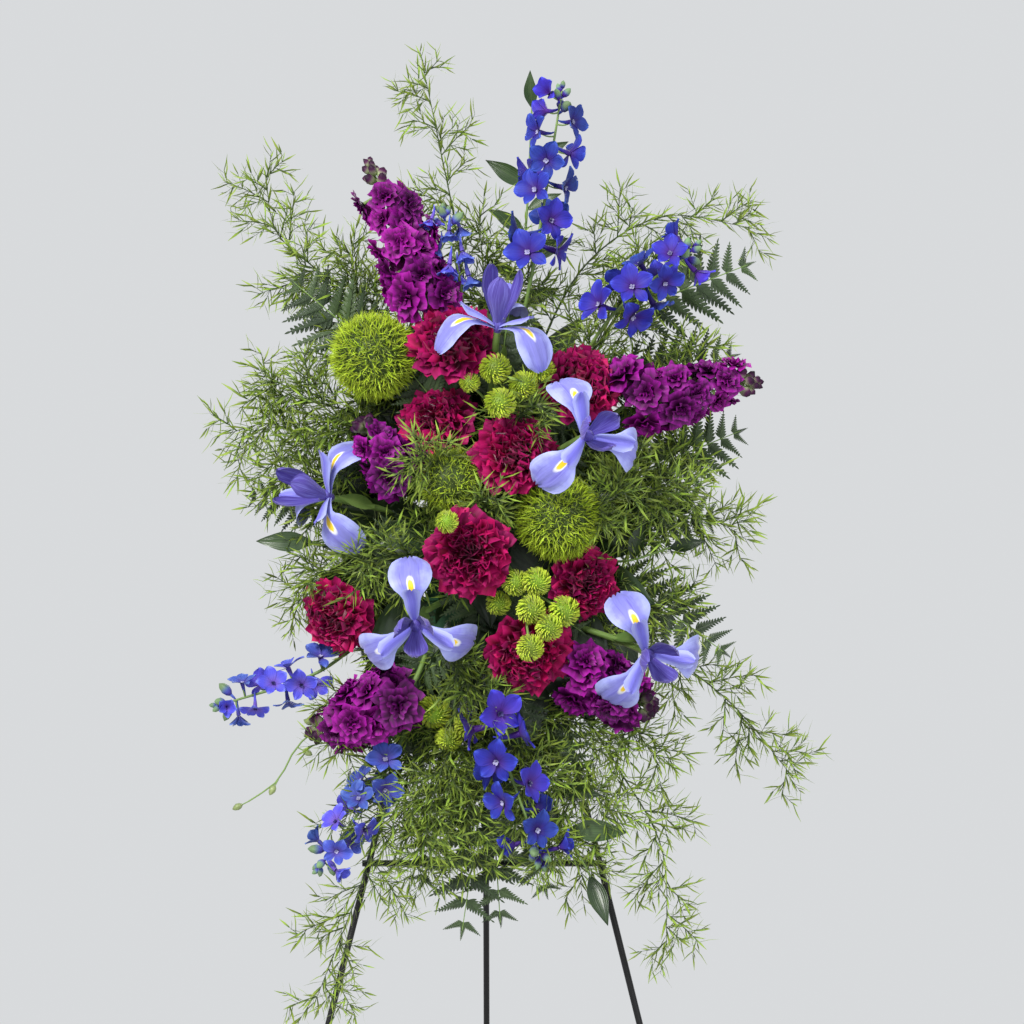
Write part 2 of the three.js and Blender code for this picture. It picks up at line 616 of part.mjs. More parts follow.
function greenBall({ x, out, z, radius }) {
  const centre = at(x, out, z);
  const facing = centre.clone().sub(HEART).normalize();
  const neck = centre.clone().addScaledVector(facing, -radius * 0.7);
  const isTuft = (row, column) => row % 2 === 1 && column % 2 === ((row - 1) / 2) % 2;
  const ball = inFrame(studdedBall(radius, 16, 10, 0.76, isTuft), frameAlong(centre, facing));
  const way = bent(rootInFoam(centre, GREEN_DEPTH), neck, facing);
  return fuse([ball, stem(way, STEM_RADIUS.dianthus, 3)]);
}

function buttonBunch(heads) {
  const centres = heads.map((head) => at(head.x, head.out, head.z));
  const middle = centres.reduce((sum, c) => sum.add(c), vec(0, 0, 0)).divideScalar(centres.length);
  const root = rootInFoam(middle, GREEN_DEPTH);
  const stalk = new THREE.LineCurve3(root, root.clone().lerp(middle, 0.8));
  const pieces = [stem(stalk, STEM_RADIUS.pomStalk, 1)];
  const isRaised = (row, column) => (column + row) % 2;
  heads.forEach((head, i) => {
    const fork = root.clone().lerp(middle, 0.45 + (0.32 * i) / heads.length);
    const facing = centres[i].clone().sub(HEART).normalize().addScaledVector(VIEWER, 0.8);
    const button = studdedBall(head.radius, 8, 4, 0.84, isRaised).scale(1, 1, 0.85);
    pieces.push(inFrame(button, frameAlong(centres[i], facing)));
    const way = centres[i].clone().sub(fork);
    const neck = centres[i].clone().add(way.setLength(-head.radius * 0.5));
    pieces.push(tube(new THREE.LineCurve3(fork, neck), STEM_RADIUS.pomFork, 1));
  });
  return fuse(pieces);
}

// The green under the carnations and irises: a spine in the foam, the stems that leave it one above
// the other, the carnations' cups and the irises' sheaths
function flowerStems() {
  const spineAt = (up) => onFrame(0, up, HEART_DEPTH);
  const spine = (half) => new THREE.LineCurve3(spineAt(-half), spineAt(half));
  const flowers = [...CARNATIONS, ...IRISES].sort((a, b) => a.z - b.z);
  const pieces = [tube(spine(SPINE_HALF_REACH), STEM_RADIUS.spine, 1)];
  bores.push(tube(spine(SPINE_HALF_REACH + 1), STEM_RADIUS.spine + 0.6, 1));
  flowers.forEach((flower, i) => {
    const root = spineAt((i / (flowers.length - 1) - 0.5) * 2 * (SPINE_HALF_REACH - 6));
    const centre = at(flower.x, flower.out, flower.z);
    if (flower.axis) {
      const facing = atPoint(flower.axis).normalize();
      const path = faceted(bent(root, centre.addScaledVector(facing, -GAP), facing), 3);
      pieces.push(stem(path, STEM_RADIUS.iris, 3), sheath(path));
    } else {
      const facing = carnationFacing(centre);
      const below = flower.size * CARNATION.foot + CUP.length + GAP;
      const foot = centre.addScaledVector(facing, -below);
      const cup = new THREE.CylinderGeometry(CUP.wide, CUP.narrow, CUP.length, CUP.sides);
      cup.rotateX(Math.PI / 2).translate(0, 0, CUP.length / 2);
      const way = bent(root, foot.clone().addScaledVector(facing, SINK), facing);
      pieces.push(inFrame(cup, frameAlong(foot, facing)), stem(way, STEM_RADIUS.carnation, 3));
    }
  });
  return fuse(pieces);
}

function sheath(path) {
  const rows = [[0, 0, 0], [7, 16, 6], [10, 30, 5], [12, 42, 0]];
  const frame = frameAlong(path.getPoint(0.74), path.getTangent(0.74), vec(0.5, -1, 0.2));
  return inFrame(blade(axialPetal(rows, 0, 1.5), 1.2), frame);
}

function carnationFacing(centre) {
  const outwards = centre.clone().sub(HEART).normalize();
  return outwards.addScaledVector(VIEWER, CARNATION.towardsViewer).normalize();
}

function carnation({ x, out, z, size }) {
  const centre = at(x, out, z);
  const facing = carnationFacing(centre);
  const base = centre.clone().addScaledVector(facing, -size * CARNATION.base);
  return inFrame(carnationBloom(size), frameAlong(base, facing));
}

function iris({ x, out, z, axis, first }) {
  const frame = frameAlong(at(x, out, z), atPoint(axis), atPoint(first));
  return fuse(irisPetals().map((petal) => inFrame(petal, frame)));
}

// A pinnate blade: along its rib, leaflets to both hands that are cut apart down to the rib
function pinnate(rib, across, pairs, reachAt, sweep) {
  const points = [];
  const faces = [];
  for (let i = 0; i < pairs; i++) {
    const share = i / pairs;
    const knot = rib.getPoint(share);
    const reach = reachAt(share);
    const n = points.length;
    for (const side of [-1, 1]) {
      const far = knot.clone().addScaledVector(across, side * reach);
      far.addScaledVector(rib.getTangent(share), reach * sweep);
      far.addScaledVector(VIEWER, -reach * 0.14);
      points.push(knot.clone().addScaledVector(across, side * (1.8 - share)), far);
    }
    const tip = i + 1 === pairs;
    const [left, leftFar, right, rightFar, nextLeft] = [n, n + 1, n + 2, n + 3, n + 4];
    const nextRight = tip ? nextLeft : n + 6;
    faces.push([left, right, nextRight], [left, nextLeft, leftFar], [right, rightFar, nextRight]);
    if (!tip) faces.push([left, nextRight, nextLeft]);
  }
  return plate([...points, rib.getPoint(1)], faces, LEAF);
}

// A frond of leatherleaf fern, arched towards the viewer, on its stalk
function frond({ base, tip, width, lift }) {
  const [from, to] = [atPoint(base), atPoint(tip)];
  const root = rootInFoam(from, FROND_DEPTH);
  const crown = from.clone().lerp(to, 0.5).addScaledVector(VIEWER, lift);
  const rib = new THREE.QuadraticBezierCurve3(from, crown, to);
  const across = to.clone().sub(from).cross(VIEWER).normalize();
  const reachAt = (share) => (width / 2) * Math.sin(Math.PI * (0.24 + 0.72 * share)) ** 0.8;
  const knee = root.clone().lerp(from, 0.6);
  const stalk = new THREE.QuadraticBezierCurve3(root, knee, rib.getPoint(0.06));
  return fuse([solidOf(pinnate(rib, across, 9, reachAt, 0.55)), stem(stalk, STEM_RADIUS.frond, 2)]);
}

// The chain of straight stretches from the foam through the knots of a leafy stem
function leafyPath(knots, depth) {
  const curve = new THREE.CatmullRomCurve3([rootInFoam(knots[0], depth), ...knots]);
  return faceted(curve, LEAFY_STEPS);
}

// A ruscus stem with pointed leaves to both sides and one at its tip
function ruscusStem({ route, leaves, size }) {
  const path = leafyPath(route.map(atPoint), RUSCUS_DEPTH);
  const pieces = [stem(path, STEM_RADIUS.ruscus, LEAFY_STEPS)];
  for (let i = 0; i < leaves; i++) {
    const last = i === leaves - 1;
    const share = last ? 0.985 : 0.42 + (0.55 * i) / leaves;
    const along = path.getTangent(share);
    const side = along.clone().cross(VIEWER).normalize().multiplyScalar(i % 2 ? 1 : -1);
    const way = side.multiplyScalar(last ? 0.05 : 1).addScaledVector(along, 0.55);
    way.addScaledVector(VIEWER, i % 3 ? 0.2 : -0.1);
    const length = size * (1 - 0.12 * (i % 3));
    const [belly, shoulder] = [[length * 0.3, 1, size * 0.16], [length * 0.62, 1.5, size * 0.13]];
    const stations = [[0, 0, 0], belly, shoulder, [length, -3, 0]];
    const frame = frameAlong(path.getPoint(share), VIEWER, way);
    pieces.push(inFrame(blade(axialPetal(stations, 0, -1.6), LEAF), frame));
  }
  return fuse(pieces);
}

// A feathery stem: side branches to both hands, with needles along each branch and at the tip
function asparagusStem({ route, reach }) {
  const path = leafyPath(route.map(atPoint), ASPARAGUS_DEPTH);
  const pieces = [stem(path, STEM_RADIUS.asparagus, LEAFY_STEPS)];
  const branches = 5;
  for (let b = 0; b < branches; b++) {
    const share = 0.42 + (0.5 * b) / (branches - 1);
    const along = path.getTangent(share);
    const side = along.clone().cross(VIEWER).normalize().multiplyScalar(b % 2 ? 1 : -1);
    const length = reach * (1 - 0.45 * (b / branches));
    const lift = 0.35 * Math.cos(b * GOLDEN_TURN);
    const way = side.addScaledVector(along, 0.75).addScaledVector(VIEWER, lift).normalize();
    const knot = path.getPoint(share);
    const end = knot.clone().addScaledVector(way, length).add(vec(0, 0, -length * 0.1));
    const branch = new THREE.LineCurve3(knot, end);
    pieces.push(tube(branch, STEM_RADIUS.branch, 1), ...needlesAlong(branch, 3, 0.4, b));
  }
  return fuse([...pieces, ...needlesAlong(path, 2, 0.93, branches)]);
}

function needlesAlong(curve, count, from, seed) {
  return Array.from({ length: count }, (_, i) => {
    const share = THREE.MathUtils.lerp(from, 0.95, i / (count - 1));
    const turn = (seed * 3 + i) * GOLDEN_TURN;
    const root = curve.getPoint(share);
    const frame = frameAlong(root, curve.getTangent(share));
    const way = vec(Math.cos(turn), Math.sin(turn), 0.9).transformDirection(frame);
    return needle(root, root.clone().addScaledVector(way, NEEDLE_LENGTH), STEM_RADIUS.needle);
  });
}

// Assembly: a piece placed later keeps clear of the pieces placed before it
const placed = [];
const arrangement = new THREE.Group();

function boxRound({ min, max }, margin) {
  const corners = new THREE.Box3(vec(...min), vec(...max)).expandByScalar(margin);
  const [size, centre] = [corners.getSize(vec(0, 0, 0)), corners.getCenter(vec(0, 0, 0))];
  const geometry = new THREE.BoxGeometry(size.x, size.y, size.z);
  return solidOf(geometry.translate(centre.x, centre.y, centre.z));
}

function boxesMeet(a, b) {
  const [p, q] = [a.boundingBox(), b.boundingBox()];
  return [0, 1, 2].every((k) => p.min[k] < q.max[k] && q.min[k] < p.max[k]);
}

// What is left of a solid once it gives way to another, with a narrow gap between them
function givingWay(solid, other) {
  if (!boxesMeet(solid, other)) return solid;
  const overlap = solid.intersect(other);
  if (overlap.isEmpty()) return solid;
  const near = other.intersect(boxRound(overlap.boundingBox(), 2));
  return solid.subtract(halo(near));
}

function place(name, solid, look) {
  const kept = largest(placed.reduce(givingWay, solid));
  placed.push(kept);
  addMesh(name, kept, look);
}

function addMesh(name, solid, look) {
  const simple = solid.asOriginal().simplify(SLIVER);
  const { numProp, numVert, vertProperties, triVerts } = simple.getMesh();
  const corners = new Float32Array(numVert * 3);
  for (let i = 0; i < numVert; i++) {
    corners.set(vertProperties.subarray(i * numProp, i * numProp + 3), i * 3);
  }
  const geometry = new THREE.BufferGeometry();
  geometry.setAttribute('position', new THREE.BufferAttribute(corners, 3));
  geometry.setIndex(new THREE.BufferAttribute(triVerts, 1));
  const material = new THREE.MeshStandardMaterial({ ...look, flatShading: true });
  const mesh = new THREE.Mesh(geometry, material);
  mesh.name = name;
  arrangement.add(mesh);
}

function placeEach(kind, list, make, look) {
  list.forEach((item, i) => place(`${kind}_${i + 1}`, make(item), look));
}

place('left_leg', cutAtFloor(leg(-1)), COLOURS.steel);
place('right_leg', cutAtFloor(leg(1)), COLOURS.steel);
place('hinge_rod', crossbar(HINGE_UP, -BESIDE), COLOURS.steel);
place('stop_rod', crossbar(HINGE_UP + STOP_ABOVE_HINGE, -BESIDE), COLOURS.steel);
place('lower_crossbar', crossbar(upAtHeight(LOWER_CROSSBAR_HEIGHT), BESIDE), COLOURS.steel);
place('rear_leg', rearLeg(), COLOURS.steel);
place('cable_tie_left', cableTie(-1), COLOURS.tie);
place('cable_tie_right', cableTie(1), COLOURS.tie);
place('flower_stems', flowerStems(), COLOURS.stem);
placeEach('iris', IRISES, iris, COLOURS.iris);
placeEach('button_poms', BUTTON_BUNCHES, buttonBunch, COLOURS.lime);
placeEach('carnation', CARNATIONS, carnation, COLOURS.carnation);
placeEach('green_dianthus', GREEN_DIANTHUS, greenBall, COLOURS.lime);
placeEach('delphinium', DELPHINIUMS, delphiniumSpike, COLOURS.delphinium);
placeEach('stock', STOCKS, stockSpike, COLOURS.stock);
placeEach('ruscus', RUSCUS, ruscusStem, COLOURS.ruscus);
placeEach('leatherleaf', FRONDS, frond, COLOURS.fern);
placeEach('asparagus', ASPARAGUS, asparagusStem, COLOURS.asparagus);
const holes = fuse(bores);
addMesh('foam_block', largest(foamBlock().subtract(holes)), COLOURS.foam);
addMesh('foam_cage', largest(foamCage().subtract(holes)), COLOURS.cage);

// The group stands on z = 0 with the middle of its box over the origin
const box = new THREE.Box3().setFromObject(arrangement);
const middle = box.getCenter(new THREE.Vector3());
arrangement.position.set(-middle.x, -middle.y, -box.min.z);

export default arrangement;
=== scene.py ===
"""Looks of a standing funeral spray: flowers and ferns in a caged foam block on a folding wire easel.

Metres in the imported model's frame: +Z up, the flowers face -Y, +X is to the viewer's right. The
tables give each flower in millimetres as x across, out towards the viewer, and z up.
"""
from __future__ import annotations

import json
import logging
import math
import random
from collections.abc import Sequence
from dataclasses import dataclass
from enum import Enum
from typing import Any

import bpy
import numpy as np
from mathutils import Matrix, Vector

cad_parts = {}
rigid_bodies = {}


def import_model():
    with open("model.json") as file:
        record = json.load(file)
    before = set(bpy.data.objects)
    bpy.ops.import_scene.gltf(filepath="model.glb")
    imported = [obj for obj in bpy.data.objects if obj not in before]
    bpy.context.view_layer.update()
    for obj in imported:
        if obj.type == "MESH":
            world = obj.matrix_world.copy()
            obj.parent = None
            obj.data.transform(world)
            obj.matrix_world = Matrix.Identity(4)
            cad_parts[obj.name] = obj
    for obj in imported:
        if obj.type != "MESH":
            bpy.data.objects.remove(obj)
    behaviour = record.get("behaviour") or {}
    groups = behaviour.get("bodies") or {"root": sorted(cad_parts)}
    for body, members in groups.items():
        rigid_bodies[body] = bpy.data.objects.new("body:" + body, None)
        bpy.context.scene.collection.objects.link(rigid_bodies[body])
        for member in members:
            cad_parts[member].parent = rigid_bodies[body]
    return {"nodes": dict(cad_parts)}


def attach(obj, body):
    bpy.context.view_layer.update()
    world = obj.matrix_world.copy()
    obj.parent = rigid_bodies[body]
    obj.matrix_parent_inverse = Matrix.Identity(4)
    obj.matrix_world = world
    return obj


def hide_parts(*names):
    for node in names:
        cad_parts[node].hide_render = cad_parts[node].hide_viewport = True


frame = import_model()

LOG = logging.getLogger("spray")

Colour = tuple[float, float, float]
Station = tuple[float, float, float]
Place = tuple[float, float, float]

MM = 0.001
SHIFT = Vector((-12.8259, -71.9089, 0.0)) * MM
LEAN = math.radians(13)
HANG_HEIGHT = 1100.0
HEART_DEPTH = 46.0
FOAM_HALF_HEIGHT = 113.0
ROOTS_HALF_WIDTH = 44.0
ROOTS_HALF_HEIGHT = 98.0
ROOTS_CLOSER_ACROSS = 0.25
ROOTS_CLOSER_UP = 0.32
GREEN_DEPTH = 68.0
FROND_DEPTH = 34.0
RUSCUS_DEPTH = 24.0
ASPARAGUS_DEPTH = 14.0
GOLDEN_TURN = math.pi * (3 - math.sqrt(5))
VIEWER = Vector((0.0, -1.0, 0.0))
UP = Vector((0.0, 0.0, 1.0))
FULL_TURN = 6.28
UNTURNED = Matrix.Identity(3)
BODY = "spray_on_easel"


class Slot(Enum):
    """Names of the record's material slots for the plants' pieces."""

    STEM = "stem_green"
    CARNATION = "crimson_petal"
    IRIS = "violet_blue_petal"
    STOCK = "purple_petal"
    DELPHINIUM = "royal_blue_petal"
    LIME = "lime_petal"
    FERN = "fern_green"
    RUSCUS = "ruscus_green"
    ASPARAGUS = "asparagus_green"


# Places and directions


def at(x: float, out: float, z: float) -> Vector:
    """Return the point that a table gives in millimetres, in metres of the frame."""
    return Vector((x, -out, z)) * MM + SHIFT


def way(x: float, out: float, z: float) -> Vector:
    """Return the unit direction that a table gives."""
    return Vector((x, -out, z)).normalized()


def on_frame(x: float, up: float, front: float) -> Vector:
    """Return a point on the easel's leaning front.

    Args:
        x: Millimetres across.
        up: Millimetres up the slope from the hanging height.
        front: Millimetres forwards, square to the slope.

    Returns:
        The point in metres.
    """
    y = up * math.sin(LEAN) - front * math.cos(LEAN)
    z = HANG_HEIGHT + up * math.cos(LEAN) + front * math.sin(LEAN)
    return Vector((x, y, z)) * MM + SHIFT


HEART = on_frame(0, 0, HEART_DEPTH)


def clamp(value: float, low: float, high: float) -> float:
    """Return the value kept between two limits."""
    return max(low, min(high, value))


def lerp(start: float, end: float, share: float) -> float:
    """Return the number that lies at a share of the way between two."""
    return start + (end - start) * share


def root_in_foam(point: Vector, depth: float) -> Vector:
    """Return where a stem that ends at a point starts in the foam.

    Args:
        point: End of the stem, in metres.
        depth: Millimetres in front of the easel.

    Returns:
        The root in metres.
    """
    across = (point.x - SHIFT.x) / MM * ROOTS_CLOSER_ACROSS
    up = (point.z / MM - HANG_HEIGHT) * ROOTS_CLOSER_UP
    across = clamp(across, -ROOTS_HALF_WIDTH, ROOTS_HALF_WIDTH)
    return on_frame(across, clamp(up, -ROOTS_HALF_HEIGHT, ROOTS_HALF_HEIGHT), depth)


def jitter(dice: random.Random, spread: float) -> Vector:
    """Return a small random vector, up to a spread along each axis."""
    return Vector([dice.uniform(-spread, spread) for _ in range(3)])


def turns_round(count: int) -> list[float]:
    """Return evenly spread turns round a circle."""
    return [2 * math.pi * k / count for k in range(count)]


def spin_z(turn: float) -> Matrix:
    """Return a turn round Z."""
    return Matrix.Rotation(turn, 3, "Z")


def squared(axis: Vector, first: Vector = Vector((0.31, 0.17, 0.93))) -> Matrix:
    """Return the turn whose Z is the axis and whose X is the first direction, squared to it."""
    z = axis.normalized()
    x = (first - z * first.dot(z)).normalized()
    return Matrix((x, z.cross(x), z)).transposed()


def blade_turn(along: Vector, normal: Vector) -> Matrix:
    """Return the turn whose Y runs along a blade and whose Z is its upper face, squared to it."""
    y = along.normalized()
    z = (normal - y * normal.dot(y)).normalized()
    return Matrix((y.cross(z), y, z)).transposed()


class Route:
    """A way through space that is measured by its length."""

    def __init__(self, points: Sequence[Sequence[float]]) -> None:
        """Take the points of the way, close enough to look smooth."""
        self.points = np.array([tuple(p) for p in points])
        steps = np.linalg.norm(np.diff(self.points, axis=0), axis=1)
        self.marks = np.concatenate([[0.0], np.cumsum(steps)])

    @classmethod
    def bent(cls, start: Vector, knee: Vector, end: Vector, count: int = 24) -> Route:
        """Return the way from start to end that bends towards a knee."""
        shares = [i / count for i in range(count + 1)]
        return cls([start * (1 - t) ** 2 + knee * (2 * t * (1 - t)) + end * t * t for t in shares])

    @classmethod
    def through(cls, knots: Sequence[Sequence[float]], count: int = 12) -> Route:
        """Return a smooth way through knots.

        Args:
            knots: Points that the way passes through.
            count: Stretches between two knots.

        Returns:
            The route.
        """
        p = np.array([tuple(k) for k in knots], dtype=float)
        p = np.vstack([2 * p[0] - p[1], p, 2 * p[-1] - p[-2]])
        points = [p[1]]
        for i in range(1, len(p) - 2):
            d0, d1, d2 = (max(np.linalg.norm(p[i + k] - p[i + k - 1]), 1e-9) ** 0.5 for k in range(3))
            t1 = ((p[i] - p[i - 1]) / d0 - (p[i + 1] - p[i - 1]) / (d0 + d1) + (p[i + 1] - p[i]) / d1) * d1
            t2 = ((p[i + 1] - p[i]) / d1 - (p[i + 2] - p[i]) / (d1 + d2) + (p[i + 2] - p[i + 1]) / d2) * d1
            for k in range(1, count + 1):
                t = k / count
                cubic = (2 * p[i] - 2 * p[i + 1] + t1 + t2) * t**3
                square = (3 * p[i + 1] - 3 * p[i] - 2 * t1 - t2) * t**2
                points.append(p[i] + t1 * t + square + cubic)
        return cls(points)

    @property
    def length(self) -> float:
        """Return the length of the way in metres."""
        return float(self.marks[-1])

    def row(self, share: float) -> np.ndarray:
        """Return the numbers of the point at a share of the length."""
        mark = clamp(share, 0.0, 1.0) * self.marks[-1]
        return np.array([np.interp(mark, self.marks, self.points[:, k]) for k in range(3)])

    def point(self, share: float) -> Vector:
        """Return the point at a share of the length."""
        return Vector(self.row(share))

    def tangent(self, share: float) -> Vector:
        """Return the direction at a share of the length."""
        return (self.point(share + 0.01) - self.point(share - 0.01)).normalized()

    def stretch(self, start: float, end: float, count: int) -> list[Vector]:
        """Return evenly spaced points from one share of the length to another."""
        return [self.point(lerp(start, end, i / (count - 1))) for i in range(count)]


# Models: small meshes that are repeated or placed


class Model:
    """Points, faces and the marks that finishes read: uv, kind and loose, root 0 to edge 1."""

    def __init__(self) -> None:
        """Start with nothing."""
        self.points: list[Vector] = []
        self.uvs: list[tuple[float, float]] = []
        self.kinds: list[float] = []
        self.looses: list[float] = []
        self.faces: list[tuple[int, ...]] = []

    def grid(self, rows: list[list[Vector]], kind: float = 0.0, closed: bool = False) -> Model:
        """Add a sheet.

        Args:
            rows: Rows of points from root to edge, all of one length.
            kind: Which finish of the piece the sheet shows.
            closed: Whether a row runs round, from its last point to its first.

        Returns:
            This model.
        """
        start, width = len(self.points), len(rows[0])
        for i, row in enumerate(rows):
            for j, point in enumerate(row):
                self.points.append(point)
                self.uvs.append((j / max(width - 1, 1), i / (len(rows) - 1)))
                self.kinds.append(kind)
                self.looses.append(i / (len(rows) - 1))
        for i in range(len(rows) - 1):
            for j in range(width if closed else width - 1):
                a, b = start + i * width + j, start + i * width + (j + 1) % width
                self.faces.append((a, b, b + width, a + width))
        return self

    def join(self, other: Model, turn: Matrix, spot: Vector = Vector(), size: float = 1.0) -> Model:
        """Add a copy of another model, grown, turned and put in its place."""
        start = len(self.points)
        self.points += [turn @ (p * size) + spot for p in other.points]
        self.uvs += other.uvs
        self.kinds += other.kinds
        self.looses += other.looses
        self.faces += [tuple(k + start for k in face) for face in other.faces]
        return self

    def mesh(self, name: str) -> bpy.types.Mesh:
        """Return the model as a mesh with its uv map and marks."""
        mesh = bpy.data.meshes.new(name)
        mesh.from_pydata([tuple(p) for p in self.points], [], self.faces)
        layer = mesh.uv_layers.new(name="UVMap")
        corners = np.empty(len(mesh.loops), dtype=np.int32)
        mesh.loops.foreach_get("vertex_index", corners)
        layer.data.foreach_set("uv", np.array(self.uvs, dtype=np.float32)[corners].ravel())
        for label, values in (("kind", self.kinds), ("loose", self.looses)):
            mesh.attributes.new(label, "FLOAT", "POINT").data.foreach_set("value", values)
        mesh.validate()
        return mesh


@dataclass(frozen=True)
class Petal:
    """A thin blade in its own frame: X across, Y out from its root, Z up to its inner face.

    Attributes:
        stations: Reach, height and half width from root to edge.
        across: Faces from side to side.
        along: Faces from root to edge.
        cup: How far the sides are lifted, as a share of the half width.
        ruffle: Height of the waves at the edge.
        waves: Number of half waves from side to side.
        phase: Turn of the waves.
        fray: Depth of the notches in the edge.
        kind: Which finish of the piece the blade shows.
        seed: Seed of the notches.
    """

    stations: Sequence[Station]
    across: int = 8
    along: int = 8
    cup: float = 0.0
    ruffle: float = 0.0
    waves: float = 3.0
    phase: float = 0.0
    fray: float = 0.0
    kind: float = 0.0
    seed: int = 0

    def model(self) -> Model:
        """Return the blade as a grid."""
        dice = random.Random(self.seed)
        line = Route.through(self.stations)
        notches = [self.fray * (0.35 * (j % 2) + 0.65 * dice.random()) for j in range(self.across + 1)]
        rows = []
        for i in range(self.along + 1):
            share = i / self.along
            reach, height, half = line.row(share)
            ahead = line.row(share + 0.02) - line.row(share - 0.02)
            run = Vector((0, ahead[0], ahead[1])).normalized()
            lift = Vector((0, -run.z, run.y))
            row = []
            for j in range(self.across + 1):
                u = 2 * j / self.across - 1
                wave = math.sin(u * self.waves * math.pi / 2 + self.phase) * self.ruffle * share**2
                rise = self.cup * max(half, 0) * u * u + wave
                back = notches[j] if i == self.along else 0.25 * notches[j] if i == self.along - 1 else 0
                row.append(Vector((max(half, 0) * u, reach, height)) + lift * rise - run * back)
            rows.append(row)
        return Model().grid(rows, self.kind)


def arc(length: float, start: float, end: float, widths: Sequence[float]) -> list[Station]:
    """Return the stations of a blade that opens from one angle to another.

    Args:
        length: Length along the blade.
        start: Degrees from the flower's axis at the root.
        end: Degrees from the flower's axis at the edge.
        widths: Half widths from root to edge.

    Returns:
        Reach, height and half width at each station.
    """
    reach, height, stations = 0.0, 0.0, []
    step = length / (len(widths) - 1)
    for i, half in enumerate(widths):
        stations.append((reach, height, half))
        angle = math.radians(lerp(start, end, (i + 0.5) / (len(widths) - 1)))
        reach += step * math.sin(angle)
        height += step * math.cos(angle)
    return stations


def turned_model(profile: Sequence[tuple[float, float]], around: int, kind: float = 0.0) -> Model:
    """Return a body turned round Z from a profile of radius and height, root to tip."""
    rows = []
    for radius, height in profile:
        turns = turns_round(around)
        rows.append([Vector((radius * math.cos(t), radius * math.sin(t), height)) for t in turns])
    model = Model().grid(rows, kind, closed=True)
    last = around * (len(profile) - 1)
    model.faces += [tuple(range(around - 1, -1, -1)), tuple(range(last, last + around))]
    return model


def ring_of(model: Model, count: int, start: float = 0.0, into: Model | None = None) -> Model:
    """Add a ring of one blade round Z to a model and return it."""
    into = into or Model()
    for turn in turns_round(count):
        into.join(model, spin_z(start + turn - math.pi / 2))
    return into


# Node trees


class Graph:
    """A node tree that is written node by node."""

    def __init__(self, tree: bpy.types.NodeTree) -> None:
        """Take the tree to write in."""
        self.tree = tree

    def node(
        self,
        kind: str,
        settings: dict[str, Any] | None = None,
        values: dict[str | int, Any] | None = None,
    ) -> bpy.types.Node:
        """Add a node.

        Args:
            kind: Type of the node.
            settings: Its own settings, which are set first.
            values: Value or link of each socket, by its name or number.

        Returns:
            The node.
        """
        node = self.tree.nodes.new(kind)
        for name, value in (settings or {}).items():
            setattr(node, name, value)
        for key, value in (values or {}).items():
            self.plug(node.inputs[key] if isinstance(key, int) else self.open_socket(node, key), value)
        return node

    def plug(self, socket: bpy.types.NodeSocket, value: Any) -> None:
        """Link a socket to a term or to another socket, or set its value."""
        value = value.socket if isinstance(value, Term) else value
        if isinstance(value, bpy.types.NodeSocket):
            self.tree.links.new(value, socket)
        else:
            socket.default_value = value

    @staticmethod
    def open_socket(node: bpy.types.Node, name: str) -> bpy.types.NodeSocket:
        """Return the input of that name that the node's settings leave open."""
        return next(socket for socket in node.inputs if socket.name == name and socket.enabled)

    def out(self, kind: str, settings: dict[str, Any] | None = None, **values: Any) -> bpy.types.NodeSocket:
        """Add a node whose sockets have one-word names and return its first open output."""
        named = {name.replace("_", " "): value for name, value in values.items()}
        node = self.node(kind, settings, named)
        return next(socket for socket in node.outputs if socket.enabled)


class Term:
    """A number in a shader: arithmetic on it adds the Math nodes."""

    def __init__(self, graph: Graph, socket: bpy.types.NodeSocket) -> None:
        """Take the graph and the socket that carries the number."""
        self.graph = graph
        self.socket = socket

    def math(self, operation: str, *terms: Term | float) -> Term:
        """Return the result of a Math node on the terms."""
        node = self.graph.node("ShaderNodeMath", {"operation": operation}, dict(enumerate(terms)))
        return Term(self.graph, node.outputs[0])

    def __add__(self, other: Term | float) -> Term:
        """Return the sum."""
        return self.math("ADD", self, other)

    __radd__ = __add__

    def __sub__(self, other: Term | float) -> Term:
        """Return the difference."""
        return self.math("SUBTRACT", self, other)

    def __rsub__(self, other: Term | float) -> Term:
        """Return the other number less this one."""
        return self.math("SUBTRACT", other, self)

    def __mul__(self, other: Term | float) -> Term:
        """Return the product."""
        return self.math("MULTIPLY", self, other)

    def __abs__(self) -> Term:
        """Return the size without its sign."""
        return self.math("ABSOLUTE", self)

    def ramp(self, low: float, high: float) -> Term:
        """Return 0 below one limit, 1 above the other, and a smooth rise between them."""
        values = {"Value": self, "From Min": low, "From Max": high}
        node = self.graph.node("ShaderNodeMapRange", {"interpolation_type": "SMOOTHSTEP"}, values)
        return Term(self.graph, node.outputs[0])


